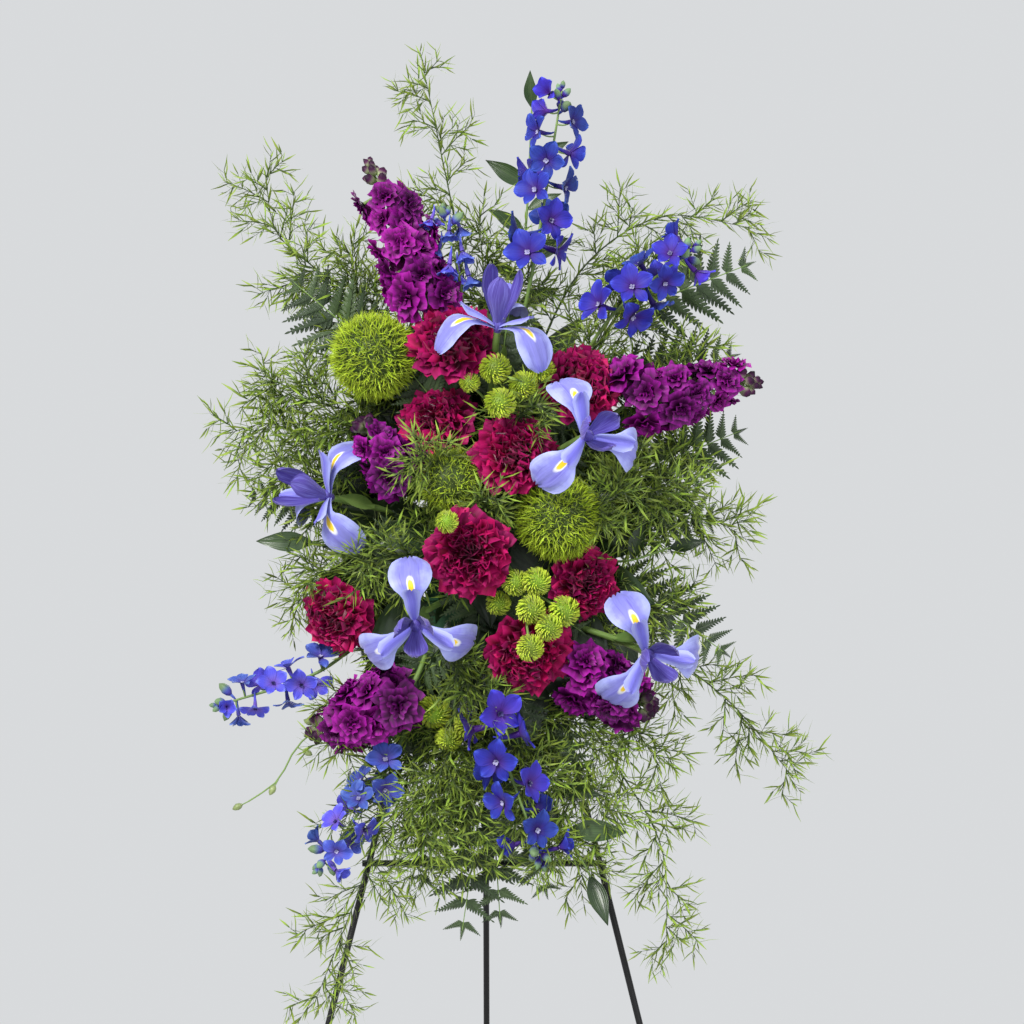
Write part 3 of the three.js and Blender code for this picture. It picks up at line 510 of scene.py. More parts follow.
class Paint(Graph):
    """The node tree of one material."""

    def __init__(self, name: str) -> None:
        """Start a material with an empty shader."""
        self.material = bpy.data.materials.new(name)
        self.material.use_nodes = True
        super().__init__(self.material.node_tree)
        self.shader = self.tree.nodes["Principled BSDF"]

    def term(self, socket: bpy.types.NodeSocket) -> Term:
        """Return a socket as a term."""
        return Term(self, socket)

    def mark(self, name: str) -> Term:
        """Return a mark of the mesh as a term."""
        node = self.node("ShaderNodeAttribute", {"attribute_type": "GEOMETRY", "attribute_name": name})
        return self.term(node.outputs["Fac"])

    def uv(self) -> tuple[Term, Term]:
        """Return the terms across and along a blade."""
        uv = self.out("ShaderNodeUVMap", {"uv_map": "UVMap"})
        parts = self.node("ShaderNodeSeparateXYZ", values={"Vector": uv})
        return self.term(parts.outputs["X"]), self.term(parts.outputs["Y"])

    def spot(self) -> bpy.types.NodeSocket:
        """Return the place on the object."""
        return self.node("ShaderNodeTexCoord").outputs["Object"]

    def noise(self, vector: bpy.types.NodeSocket, scale: float, detail: float = 2.0) -> Term:
        """Return a cloud pattern at a scale."""
        return self.term(self.out("ShaderNodeTexNoise", Vector=vector, Scale=scale, Detail=detail))

    def vector(self, x: Term | float, y: Term | float, z: Term | float) -> bpy.types.NodeSocket:
        """Return three terms as a vector."""
        return self.out("ShaderNodeCombineXYZ", X=x, Y=y, Z=z)

    def mixed(self, first: Any, second: Any, factor: Term | float) -> bpy.types.NodeSocket:
        """Return the mix of two colours."""
        first, second = (self.solid(c) for c in (first, second))
        settings = {"data_type": "RGBA", "clamp_factor": True}
        node = self.node("ShaderNodeMix", settings, {"Factor": factor, "A": first, "B": second})
        return next(socket for socket in node.outputs if socket.enabled)

    @staticmethod
    def solid(colour: Any) -> Any:
        """Return a colour with its fourth number, or a socket as it is."""
        return (*colour, 1.0) if isinstance(colour, tuple) else colour

    def valued(self, colour: Any, value: Term, hue: Term | float = 0.5) -> bpy.types.NodeSocket:
        """Return a colour made lighter or darker, with its hue shifted."""
        return self.out("ShaderNodeHueSaturation", Color=self.solid(colour), Value=value, Hue=hue)

    def finish(self, colour: Any, roughness: Term | float, relief: Term | None = None, **fixed: float) -> Any:
        """Set the shader and return the material.

        Args:
            colour: Base colour.
            roughness: Roughness.
            relief: Height of the surface in tenths of a millimetre.
            **fixed: Other sockets of the shader that are one number all over.

        Returns:
            The material.
        """
        values = {"Base Color": self.solid(colour), "Roughness": roughness}
        values |= {name.replace("_", " "): value for name, value in fixed.items()}
        if relief is not None:
            values["Normal"] = self.out("ShaderNodeBump", Strength=0.6, Distance=0.0006, Height=relief)
        for name, value in values.items():
            self.plug(self.shader.inputs[name], value)
        return self.material


# Finishes


@dataclass(frozen=True)
class PetalFinish:
    """A petal that changes from its root to its edge, with streaks along it.

    Attributes:
        name: Name of the material.
        root: Colour at the root, darkened as painted shade deep in the flower.
        body: Colour of the blade.
        edge: Colour at the edge.
        veins: Streaks from side to side.
        streak: How much the streaks lighten and darken.
        spread: How much one petal differs from the next.
        hue: How much the hue of one petal differs from the next.
        roughness: Roughness of the face.
        sheen: Weight of the velvet sheen.
    """

    name: str
    root: Colour
    body: Colour
    edge: Colour
    veins: float = 22.0
    streak: float = 0.5
    spread: float = 0.5
    hue: float = 0.02
    roughness: float = 0.6
    sheen: float = 0.25

    def base(self, paint: Paint) -> tuple[Any, Term, Term, Term]:
        """Return the colour before its variation, with the streaks, the tone and the way along."""
        across, along = paint.uv()
        tone = paint.mark("tone")
        streaks = paint.noise(paint.vector(across * self.veins, along * 2.0, tone * 40.0), 1.0)
        # Painted shade: the colour darkens towards the root, deep in the flower.
        colour = paint.mixed(self.root, self.body, along.ramp(0.1, 0.62))
        colour = paint.mixed(colour, self.edge, (along + (streaks - 0.5) * 0.3).ramp(0.7, 1.0))
        return colour, streaks, tone, along

    def varied(self, paint: Paint, colour: Any, streaks: Term, tone: Term) -> bpy.types.NodeSocket:
        """Return the colour as it differs along the streaks and from petal to petal."""
        value = 1.0 + (streaks - 0.5) * (2 * self.streak) + (tone - 0.5) * self.spread
        return paint.valued(colour, value, 0.5 + (tone - 0.5) * self.hue)

    def material(self) -> bpy.types.Material:
        """Return the material."""
        paint = Paint(self.name)
        colour, streaks, tone, _ = self.base(paint)
        colour = self.varied(paint, colour, streaks, tone)
        fixed = {"Sheen_Weight": self.sheen, "Sheen_Roughness": 0.4, "Specular_IOR_Level": 0.25}
        return paint.finish(colour, self.roughness + (streaks - 0.5) * 0.2, streaks, **fixed)


@dataclass(frozen=True)
class IrisFinish:
    """Iris petals: veined falls with a yellow signal edged white, deeper standards, pale crests."""

    name: str = "iris_petal"
    fall: Colour = (0.22, 0.22, 0.66)
    pale: Colour = (0.38, 0.42, 0.84)
    standard: Colour = (0.075, 0.045, 0.34)
    crest: Colour = (0.18, 0.17, 0.68)
    signal: Colour = (0.92, 0.62, 0.02)
    rim: Colour = (0.86, 0.87, 0.88)
    vein: Colour = (0.07, 0.045, 0.38)

    def material(self) -> bpy.types.Material:
        """Return the material."""
        paint = Paint(self.name)
        across, along = paint.uv()
        tone, kind = paint.mark("tone"), paint.mark("kind")
        off_middle = abs(across - 0.5) * 2.0
        streaks = paint.noise(paint.vector(across * 30.0, along * 2.2, tone * 40.0), 1.0)
        clouds = paint.noise(paint.spot(), 90.0)
        fall = paint.mixed(self.fall, self.pale, (off_middle + (clouds - 0.5)).ramp(0.35, 1.0))
        veined = streaks.ramp(0.52, 0.72) * (1.0 - off_middle.ramp(0.5, 1.0)) * 0.55
        fall = paint.mixed(fall, self.vein, veined)
        lengthways, sideways = (along - 0.42) * 1.5, off_middle * 1.1
        away = lengthways * lengthways + sideways * sideways + (streaks - 0.5) * 0.03
        fall = paint.mixed(fall, self.rim, (1.0 - away.ramp(0.045, 0.085)) * 0.9)
        fall = paint.mixed(fall, self.signal, 1.0 - away.ramp(0.025, 0.045))
        standard = paint.mixed(self.standard, self.fall, streaks.ramp(0.35, 0.8) * 0.6)
        crest = paint.mixed(self.crest, self.pale, off_middle.ramp(0.2, 1.0))
        colour = paint.mixed(fall, standard, kind.ramp(0.4, 0.6))
        colour = paint.mixed(colour, crest, kind.ramp(1.4, 1.6))
        colour = paint.valued(colour, 1.0 + (streaks - 0.5) * 0.5 + (tone - 0.5) * 0.25)
        return paint.finish(colour, 0.52, streaks, Sheen_Weight=0.3, Sheen_Roughness=0.4)


@dataclass(frozen=True)
class SpikeFinish(PetalFinish):
    """Florets of a spike round a pale, dark-tipped eye, and buds that turn green.

    Attributes:
        eye: Colour of the eye.
        dark: Colour of its tips.
        green: Colour of the buds.
    """

    eye: Colour = (0.42, 0.40, 0.62)
    dark: Colour = (0.02, 0.02, 0.12)
    green: Colour = (0.16, 0.26, 0.12)

    def material(self) -> bpy.types.Material:
        """Return the material."""
        paint = Paint(self.name)
        colour, streaks, tone, along = self.base(paint)
        kind = paint.mark("kind")
        colour = paint.mixed(colour, self.green, along.ramp(0.3, 0.7) * kind.ramp(1.6, 1.9))
        eye = paint.mixed(self.eye, self.dark, (streaks + tone - 1.0).ramp(0.0, 0.2))
        colour = paint.mixed(colour, eye, kind.ramp(0.6, 0.9) * (1.0 - kind.ramp(1.1, 1.4)))
        colour = self.varied(paint, colour, streaks, tone)
        fixed = {"Sheen_Weight": self.sheen, "Sheen_Roughness": 0.4, "Specular_IOR_Level": 0.3}
        return paint.finish(colour, self.roughness, streaks, **fixed)


@dataclass(frozen=True)
class LeafFinish:
    """A leaf with a midrib and veins.

    Attributes:
        name: Name of the material.
        dark: Colour of the blade.
        light: Colour of the veins and of the lighter leaves.
        veins: Veins from side to side.
        slant: How far the veins run out from the midrib: 0 for parallel veins.
        rib: Weight of the midrib.
        roughness: Roughness of the face.
        coat: Weight of the gloss.
    """

    name: str
    dark: Colour
    light: Colour
    veins: float = 14.0
    slant: float = 0.0
    rib: float = 0.6
    roughness: float = 0.45
    coat: float = 0.15

    def material(self) -> bpy.types.Material:
        """Return the material."""
        paint = Paint(self.name)
        across, along = paint.uv()
        tone = paint.mark("tone")
        off_middle = abs(across - 0.5) * 2.0
        phase = off_middle * self.veins + along * (self.slant * self.veins)
        ridges = phase.math("SINE", phase * math.pi) * 0.5 + 0.5
        clouds = paint.noise(paint.spot(), 120.0)
        rib = (1.0 - off_middle.ramp(0.03, 0.14)) * self.rib
        colour = paint.mixed(self.dark, self.light, ridges * 0.18 + tone * 0.45 + (clouds - 0.5) * 0.6)
        colour = paint.mixed(colour, self.light, rib)
        colour = paint.valued(colour, 0.85 + tone * 0.3)
        relief = ridges * 0.35 - rib
        gloss = self.roughness + (clouds - 0.5) * 0.2
        return paint.finish(colour, gloss, relief, Coat_Weight=self.coat, Coat_Roughness=0.25)


@dataclass(frozen=True)
class FuzzFinish:
    """Bristles, florets or needles, dark at the root and light at the tip."""

    name: str
    root: Colour
    tip: Colour
    turn: float = 0.55
    roughness: float = 0.6

    def material(self) -> bpy.types.Material:
        """Return the material."""
        paint = Paint(self.name)
        loose, tone = paint.mark("loose"), paint.mark("tone")
        clouds = paint.noise(paint.spot(), 70.0)
        colour = paint.mixed(self.root, self.tip, loose.ramp(0.0, self.turn))
        value = 0.60 + tone * 0.60 + clouds * 0.3
        colour = paint.valued(colour, value, 0.5 + (tone - 0.5) * 0.02)
        return paint.finish(colour, self.roughness, Sheen_Weight=0.15, Sheen_Roughness=0.5)


@dataclass(frozen=True)
class SolidFinish:
    """A hard or woody surface with clouds in its colour, its gloss and its relief.

    Attributes:
        name: Name of the material.
        dark: Darker colour.
        light: Lighter colour.
        grain: Scale of the relief, in patches a metre.
        clouds: Scale of the patches of colour, in patches a metre.
        roughness: Roughness.
        relief: Height of the grain in tenths of a millimetre.
        coat: Weight of the gloss coat.
        specular: Strength of the plain reflection.
    """

    name: str
    dark: Colour
    light: Colour
    grain: float = 900.0
    clouds: float = 40.0
    roughness: float = 0.5
    relief: float = 0.3
    coat: float = 0.0
    specular: float = 0.5

    def material(self) -> bpy.types.Material:
        """Return the material."""
        paint = Paint(self.name)
        spot = paint.spot()
        patches, grain = paint.noise(spot, self.clouds, 3.0), paint.noise(spot, self.grain)
        colour = paint.mixed(self.dark, self.light, patches * 0.6 + grain * 0.4)
        gloss = self.roughness + (patches - 0.5) * 0.25
        fixed = {"Coat_Weight": self.coat, "Coat_Roughness": 0.15, "Specular_IOR_Level": self.specular}
        return paint.finish(colour, gloss, grain * self.relief, **fixed)


# Growth: what repeats or follows a way


class GrowthTree(Graph):
    """A geometry tree with named inputs."""

    def __init__(self, name: str, inputs: dict[str, tuple[str, Any]]) -> None:
        """Start the tree.

        Args:
            name: Name of the tree.
            inputs: Socket type, without its prefix, and default of each input.
        """
        super().__init__(bpy.data.node_groups.new(name, "GeometryNodeTree"))
        face = self.tree.interface
        face.new_socket(name="Geometry", in_out="INPUT", socket_type="NodeSocketGeometry")
        face.new_socket(name="Geometry", in_out="OUTPUT", socket_type="NodeSocketGeometry")
        for label, (kind, default) in inputs.items():
            socket = face.new_socket(name=label, in_out="INPUT", socket_type=f"NodeSocket{kind}")
            if default is not None:
                socket.default_value = default
        entry = self.node("NodeGroupInput")
        self.entry = {socket.name: socket for socket in entry.outputs if socket.name}

    def mark(self, name: str, kind: str = "FLOAT") -> bpy.types.NodeSocket:
        """Return a mark of the scaffold."""
        return self.out("GeometryNodeInputNamedAttribute", {"data_type": kind}, Name=name)

    def random(self, low: float, high: float, step: int = 0) -> bpy.types.NodeSocket:
        """Return a random number for each copy."""
        seed = self.pair("ShaderNodeMath", "ADD", step, self.entry["Seed"])
        whole = self.out("FunctionNodeFloatToInt", Float=seed)
        return self.out("FunctionNodeRandomValue", Min=low, Max=high, Seed=whole)

    def pair(self, kind: str, operation: str, first: Any, second: Any) -> bpy.types.NodeSocket:
        """Return the result of an operation on two numbers or two vectors."""
        return self.node(kind, {"operation": operation}, {0: first, 1: second}).outputs[0]

    def times(self, first: Any, second: Any) -> bpy.types.NodeSocket:
        """Return the product of two numbers."""
        return self.pair("ShaderNodeMath", "MULTIPLY", first, second)

    def planted(
        self, base: bpy.types.NodeSocket, model: str, turns: tuple[Any, Any], places: dict[str, Any]
    ) -> bpy.types.NodeSocket:
        """Return a base with copies of a model on it, each with a tone of its own.

        Args:
            base: Geometry that the copies grow on.
            model: Name of the input that holds the model.
            turns: How a place is turned, and how a copy is turned in its place.
            places: Points, size and choice of the copies, by socket.

        Returns:
            The base and the copies.
        """
        local = {"rotation_space": "LOCAL"}
        turned = self.node("FunctionNodeRotateRotation", local, dict(enumerate(turns))).outputs[0]
        source = self.node("GeometryNodeObjectInfo", values={"Object": self.entry[model]})
        values = places | {"Rotation": turned, "Instance": source.outputs["Geometry"]}
        copies = self.node("GeometryNodeInstanceOnPoints", values=values).outputs[0]
        settings = {"data_type": "FLOAT", "domain": "INSTANCE"}
        values = {"Geometry": copies, "Name": "tone", "Value": self.random(0.0, 1.0, 7)}
        toned = self.out("GeometryNodeStoreNamedAttribute", settings, **values)
        join = self.node("GeometryNodeJoinGeometry", values={0: base})
        self.plug(join.inputs[0], self.out("GeometryNodeRealizeInstances", Geometry=toned))
        return join.outputs[0]

    def close(self, geometry: bpy.types.NodeSocket) -> None:
        """Shade the geometry smooth, give it the finish and lead it out."""
        smooth = self.out("GeometryNodeSetShadeSmooth", Geometry=geometry)
        dressed = self.out("GeometryNodeSetMaterial", Geometry=smooth, Material=self.entry["Finish"])
        self.node("NodeGroupOutput", values={"Geometry": dressed})

    def grow(self, scaffold: bpy.types.Object, inputs: dict[str, Any]) -> bpy.types.Object:
        """Grow the tree on a scaffold and keep the result as a plain mesh.

        Args:
            scaffold: Object whose mesh the tree reads.
            inputs: Value of each named input.

        Returns:
            The same object with the grown mesh and no modifier.
        """
        modifier = scaffold.modifiers.new("growth", "NODES")
        modifier.node_group = self.tree
        items = [item for item in self.tree.interface.items_tree if item.in_out == "INPUT"]
        sockets = {item.name: item.identifier for item in items}
        for name, value in inputs.items():
            modifier[sockets[name]] = value
        bpy.context.scene.collection.objects.link(scaffold)
        depsgraph = bpy.context.evaluated_depsgraph_get()
        evaluated = scaffold.evaluated_get(depsgraph)
        mesh = bpy.data.meshes.new_from_object(evaluated, preserve_all_data_layers=True, depsgraph=depsgraph)
        scaffold.modifiers.remove(modifier)
        bare, scaffold.data = scaffold.data, mesh
        bpy.data.meshes.remove(bare)
        return scaffold


class CopiesTree(GrowthTree):
    """Copies of the models of a collection at marked places, ruffled where they are loose."""

    def __init__(self) -> None:
        """Write the tree."""
        inputs = {"Models": ("Collection", None), "Ruffle": ("Float", 0.0)}
        inputs |= {"Ruffles a metre": ("Float", 80.0), "Seed": ("Int", 1)}
        super().__init__("copies", inputs | {"Finish": ("Material", None)})
        settings = {"transform_space": "ORIGINAL"}
        values = {"Collection": self.entry["Models"], "Separate Children": True, "Reset Children": True}
        models = self.node("GeometryNodeCollectionInfo", settings, values).outputs[0]
        turn = self.out("FunctionNodeEulerToRotation", Euler=self.mark("turn", "FLOAT_VECTOR"))
        values = {"Points": self.entry["Geometry"], "Instance": models, "Pick Instance": True}
        values |= {"Instance Index": self.mark("pick", "INT"), "Rotation": turn}
        values["Scale"] = self.mark("grown", "FLOAT_VECTOR")
        copies = self.node("GeometryNodeInstanceOnPoints", values=values).outputs[0]
        real = self.out("GeometryNodeRealizeInstances", Geometry=copies)
        values = {"W": self.entry["Seed"], "Scale": self.entry["Ruffles a metre"], "Detail": 1.0}
        noise = self.node("ShaderNodeTexNoise", {"noise_dimensions": "4D"}, values).outputs["Color"]
        height = self.times(self.mark("loose"), self.entry["Ruffle"])
        centred = self.pair("ShaderNodeVectorMath", "SUBTRACT", noise, (0.5, 0.5, 0.5))
        offset = self.pair("ShaderNodeVectorMath", "MULTIPLY", centred, height)
        self.close(self.out("GeometryNodeSetPosition", Geometry=real, Offset=offset))


class StemsTree(GrowthTree):
    """Round stems along the edges of a mesh, as thick as it is marked."""

    def __init__(self) -> None:
        """Write the tree."""
        super().__init__("stems", {"Sides": ("Int", 8), "Finish": ("Material", None)})
        self.close(self.stems())

    def stems(self) -> bpy.types.NodeSocket:
        """Return the stems as a mesh."""
        ways = self.out("GeometryNodeMeshToCurve", Mesh=self.entry["Geometry"])
        section = self.out("GeometryNodeCurvePrimitiveCircle", Resolution=self.entry["Sides"], Radius=1.0)
        values = {"Curve": ways, "Profile Curve": section, "Scale": self.mark("thick"), "Fill Caps": True}
        return self.node("GeometryNodeCurveToMesh", values=values).outputs[0]


class NeedlesTree(StemsTree):
    """Fine stems with needles all round them where they are marked leafy."""

    def __init__(self) -> None:
        """Write the tree."""
        inputs = {"Sides": ("Int", 4), "Needle": ("Object", None), "Spacing": ("Float", 0.002)}
        inputs |= {"Length": ("Float", 0.012), "Tilt": ("Float", 0.9), "Seed": ("Int", 1)}
        GrowthTree.__init__(self, "needles", inputs | {"Finish": ("Material", None)})
        ways = self.out("GeometryNodeMeshToCurve", Mesh=self.entry["Geometry"])
        values = {"Curve": ways, "Length": self.entry["Spacing"]}
        even = self.node("GeometryNodeCurveToPoints", {"mode": "LENGTH"}, values)
        along = self.out("FunctionNodeAlignRotationToVector", {"axis": "Z"}, Vector=even.outputs["Tangent"])
        turn = self.times(self.out("GeometryNodeInputIndex"), GOLDEN_TURN)
        tilt = self.times(self.entry["Tilt"], self.random(0.6, 1.25, 1))
        lean = self.out("FunctionNodeEulerToRotation", Euler=self.out("ShaderNodeCombineXYZ", X=tilt, Z=turn))
        leafy = self.pair("FunctionNodeCompare", "GREATER_THAN", self.mark("leafy"), 0.5)
        length = self.times(self.entry["Length"], self.random(0.55, 1.15, 2))
        places = {"Points": even.outputs["Points"], "Selection": leafy, "Scale": length}
        self.close(self.planted(self.stems(), "Needle", (along, lean), places))


class FuzzTree(GrowthTree):
    """Bristles all over a ball, on its own dark core."""

    def __init__(self) -> None:
        """Write the tree."""
        inputs = {"Bristle": ("Object", None), "Radius": ("Float", 0.03), "Centre": ("Vector", None)}
        inputs |= {"Density": ("Float", 100000.0), "Length": ("Float", 0.01), "Lean": ("Float", 0.5)}
        inputs |= {"Seed": ("Int", 1), "Finish": ("Material", None)}
        super().__init__("fuzz", inputs)
        core = self.out("GeometryNodeMeshIcoSphere", Radius=self.entry["Radius"], Subdivisions=4)
        values = {"Mesh": core, "Density": self.entry["Density"], "Seed": self.entry["Seed"]}
        points = self.node("GeometryNodeDistributePointsOnFaces", values=values)
        lean_x = self.times(self.entry["Lean"], self.random(-1.0, 1.0, 1))
        lean_y = self.times(self.entry["Lean"], self.random(-1.0, 1.0, 2))
        turn = self.random(0.0, FULL_TURN, 3)
        euler = self.out("ShaderNodeCombineXYZ", X=lean_x, Y=lean_y, Z=turn)
        lean = self.out("FunctionNodeEulerToRotation", Euler=euler)
        length = self.times(self.entry["Length"], self.random(0.6, 1.1, 4))
        places = {"Points": points.outputs["Points"], "Scale": length}
        ball = self.planted(core, "Bristle", (points.outputs["Rotation"], lean), places)
        centre = self.entry["Centre"]
        self.close(self.out("GeometryNodeTransform", Geometry=ball, Translation=centre))


def marked_object(
    name: str,
    points: Sequence[Vector],
    edges: Sequence[tuple[int, int]],
    marks: dict[str, tuple[str, Sequence[float]]],
) -> bpy.types.Object:
    """Return an object of points and edges, with the type and the values of each mark."""
    mesh = bpy.data.meshes.new(name)
    mesh.from_pydata([tuple(point) for point in points], edges, [])
    for label, (kind, values) in marks.items():
        field = "vector" if kind == "FLOAT_VECTOR" else "value"
        mesh.attributes.new(label, kind, "POINT").data.foreach_set(field, values)
    return bpy.data.objects.new(name, mesh)


class Places:
    """Where the copies of a few models go, and how each is turned, grown and toned."""

    def __init__(self, seed: int) -> None:
        """Start with no copy."""
        self.dice = random.Random(seed)
        self.spots: list[Vector] = []
        self.turns: list[float] = []
        self.sizes: list[float] = []
        self.picks: list[int] = []
        self.tones: list[float] = []

    def add(self, spot: Vector, turn: Matrix, size: float | Place, pick: int = 0) -> None:
        """Add a copy.

        Args:
            spot: Where its root goes.
            turn: How it is turned.
            size: How much it is grown, alike or along each of its own axes.
            pick: Which of the models it is.
        """
        self.spots.append(spot)
        self.turns += turn.to_euler("XYZ")
        self.sizes += size if isinstance(size, tuple) else (size, size, size)
        self.picks.append(pick)
        self.tones.append(self.dice.random())

    def scaffold(self, name: str) -> bpy.types.Object:
        """Return the places as an object of marked points."""
        marks = {"turn": ("FLOAT_VECTOR", self.turns), "grown": ("FLOAT_VECTOR", self.sizes)}
        marks |= {"pick": ("INT", self.picks), "tone": ("FLOAT", self.tones)}
        return marked_object(name, self.spots, [], marks)


class Twigs:
    """Ways that stems follow, with their thickness and whether needles grow on them."""

    def __init__(self) -> None:
        """Start with no way."""
        self.points: list[Vector] = []
        self.edges: list[tuple[int, int]] = []
        self.thick: list[float] = []
        self.leafy: list[float] = []

    def add(self, points: Sequence[Vector], thick: Sequence[float], leafy: float = 0.0) -> None:
        """Add a way.

        Args:
            points: Its points.
            thick: Its radius in millimetres at evenly spread stations.
            leafy: 1 where needles grow on it.
        """
        start, count = len(self.points), len(points)
        stations = np.linspace(0, 1, len(thick))
        self.points += points
        self.edges += [(start + i, start + i + 1) for i in range(count - 1)]
        self.thick += [float(np.interp(i / (count - 1), stations, thick)) * MM for i in range(count)]
        self.leafy += [leafy] * count

    def scaffold(self, name: str) -> bpy.types.Object:
        """Return the ways as an object of marked edges."""
        marks = {"thick": ("FLOAT", self.thick), "leafy": ("FLOAT", self.leafy)}
        return marked_object(name, self.points, self.edges, marks)


@dataclass(frozen=True)
class Look:
    """What the copies of one plant share.

    Attributes:
        slot: Slot of the record for its pieces; it is not used.
        models: Collection that the copies are picked from.
        finish: Material.
        ruffle: Height of the ruffles at a loose edge, in metres.
        ruffles: Ruffles a metre.
    """

    slot: Slot
    models: bpy.types.Collection
    finish: bpy.types.Material
    ruffle: float = 0.0
    ruffles: float = 80.0


class Nursery:
    """The growth trees and the finish that all the plants share."""

    def __init__(self) -> None:
        """Write the trees and mix the finish of the stems."""
        self.copies = CopiesTree()
        self.stems = StemsTree()
        self.needles = NeedlesTree()
        self.fuzz = FuzzTree()
        self.stem_finish = SolidFinish(
            "fresh_stem", (0.10, 0.19, 0.04), (0.24, 0.36, 0.09), grain=1500, roughness=0.45, relief=0.4
        ).material()

    @staticmethod
    def models(name: str, models: Sequence[Model]) -> bpy.types.Collection:
        """Return models as a collection that copies are picked from in their order."""
        group = bpy.data.collections.new(name)
        for i, model in enumerate(models):
            label = f"{name}_{i:02d}"
            group.objects.link(bpy.data.objects.new(label, model.mesh(label)))
        return group

    @staticmethod
    def discard(group: bpy.types.Collection) -> None:
        """Remove a collection of models once its copies are grown."""
        for model in list(group.objects):
            bpy.data.objects.remove(model)
        bpy.data.collections.remove(group)

    def dress_copies(self, places: Places, name: str, look: Look, seed: int, *nodes: str) -> None:
        """Grow the copies of a plant as one piece that stands for its nodes."""
        inputs = {"Models": look.models, "Ruffle": look.ruffle, "Ruffles a metre": look.ruffles}
        inputs |= {"Seed": seed, "Finish": look.finish}
        declare(self.copies.grow(places.scaffold(name), inputs), look.slot, *nodes)

    def dress_stems(self, twigs: Twigs, name: str, sides: int = 8) -> bpy.types.Object:
        """Return the twigs of a plant as one fresh green piece."""
        inputs = {"Sides": sides, "Finish": self.stem_finish}
        return declare(self.stems.grow(twigs.scaffold(name), inputs), Slot.STEM)


def declare(piece: bpy.types.Object, slot: Slot, *nodes: str) -> bpy.types.Object:
    """Let a piece ride on the spray and stand for its nodes."""
    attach(piece, BODY)
    if nodes:
        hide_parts(*nodes)
    LOG.info("%s: %d faces", piece.name, len(piece.data.polygons))
    return piece


@dataclass
class Plant:
    """A kind of plant.

    Attributes:
        nursery: Trees and finish that all the plants share.
    """

    nursery: Nursery


# Flowers


def carnation_facing(centre: Vector) -> Vector:
    """Return the way a carnation looks: out from the heart of the spray and to the viewer."""
    return ((centre - HEART).normalized() + VIEWER * 0.9).normalized()


@dataclass
class Carnations(Plant):
    """Full carnations of fringed, ruffled petals, each by centre and diameter.

    Attributes:
        blooms: Centre and diameter of each bloom.
        openings: Opening at root and edge, reach and number of the petals of each ring.
        widths: Half widths of a petal from root to edge.
        variants: Number of different petals in a ring.
        seed: Seed before the first bloom.
    """

    blooms: Sequence[tuple[float, float, float, float]] = (
        (-30, 150, 1290, 76), (94, 135, 1251, 72), (-47, 125, 1216, 66), (31, 160, 1183, 70),
        (-13, 180, 1087, 76), (100, 118, 1056, 64), (44, 158, 991, 74), (-144, 110, 1024, 68),
    )
    openings: Sequence[tuple[float, float, float, int]] = (
        (40, 102, 0.60, 8), (30, 86, 0.585, 8), (20, 66, 0.575, 9), (11, 44, 0.56, 8), (3, 22, 0.55, 7),
    )
    widths: Sequence[float] = (0.04, 0.08, 0.20, 0.37, 0.52, 0.60, 0.59)
    variants: int = 3
    seed: int = 40

    def petals(self) -> list[Model]:
        """Return the petals of each opening, a few alike but for their ruffles."""
        models = []
        for ring, (start, end, _, _) in enumerate(self.openings):
            for k in range(self.variants):
                petal = Petal(
                    arc(1.0, start, end, self.widths), across=16, along=6, cup=0.10 - 0.02 * ring,
                    ruffle=0.06 + 0.024 * ring, waves=6.0 + ring + k, phase=1.7 * k,
                    fray=0.035, seed=10 * ring + k,
                )
                models.append(petal.model())
        return models

    def build(self) -> None:
        """Build and dress each bloom."""
        group = self.nursery.models("carnation_petal", self.petals())
        # The first colour, nearly black, is painted shade at the petal roots, deep in the bloom.
        finish = PetalFinish(
            "carnation_petal", (0.020, 0.0, 0.003), (0.175, 0.0, 0.029), (0.40, 0.001, 0.105),
            veins=16, streak=0.45, spread=0.7, sheen=0.1,
        ).material()
        look = Look(Slot.CARNATION, group, finish, ruffle=0.008, ruffles=62.0)
        for number, (x, out, z, size) in enumerate(self.blooms, 1):
            places = Places(self.seed + number)
            centre = at(x, out, z)
            facing = carnation_facing(centre)
            turn = squared(facing)
            root = centre - facing * (0.30 * size * MM)
            i = 0
            for ring, (_, _, reach, count) in enumerate(self.openings):
                for _ in range(count):
                    azimuth = i * GOLDEN_TURN + places.dice.uniform(-0.2, 0.2)
                    tilt = Matrix.Rotation(places.dice.uniform(-0.14, 0.14), 3, "X")
                    spin = spin_z(azimuth)
                    grown = reach * size * MM * places.dice.uniform(0.92, 1.04)
                    narrow = grown * places.dice.uniform(0.85, 1.1)
                    pick = ring * self.variants + i % self.variants
                    places.add(root, turn @ spin @ tilt, (narrow, grown, grown), pick)
                    i += 1
            name = f"carnation_{number}"
            self.nursery.dress_copies(places, f"{name}_petals", look, number, name)
        self.nursery.discard(group)


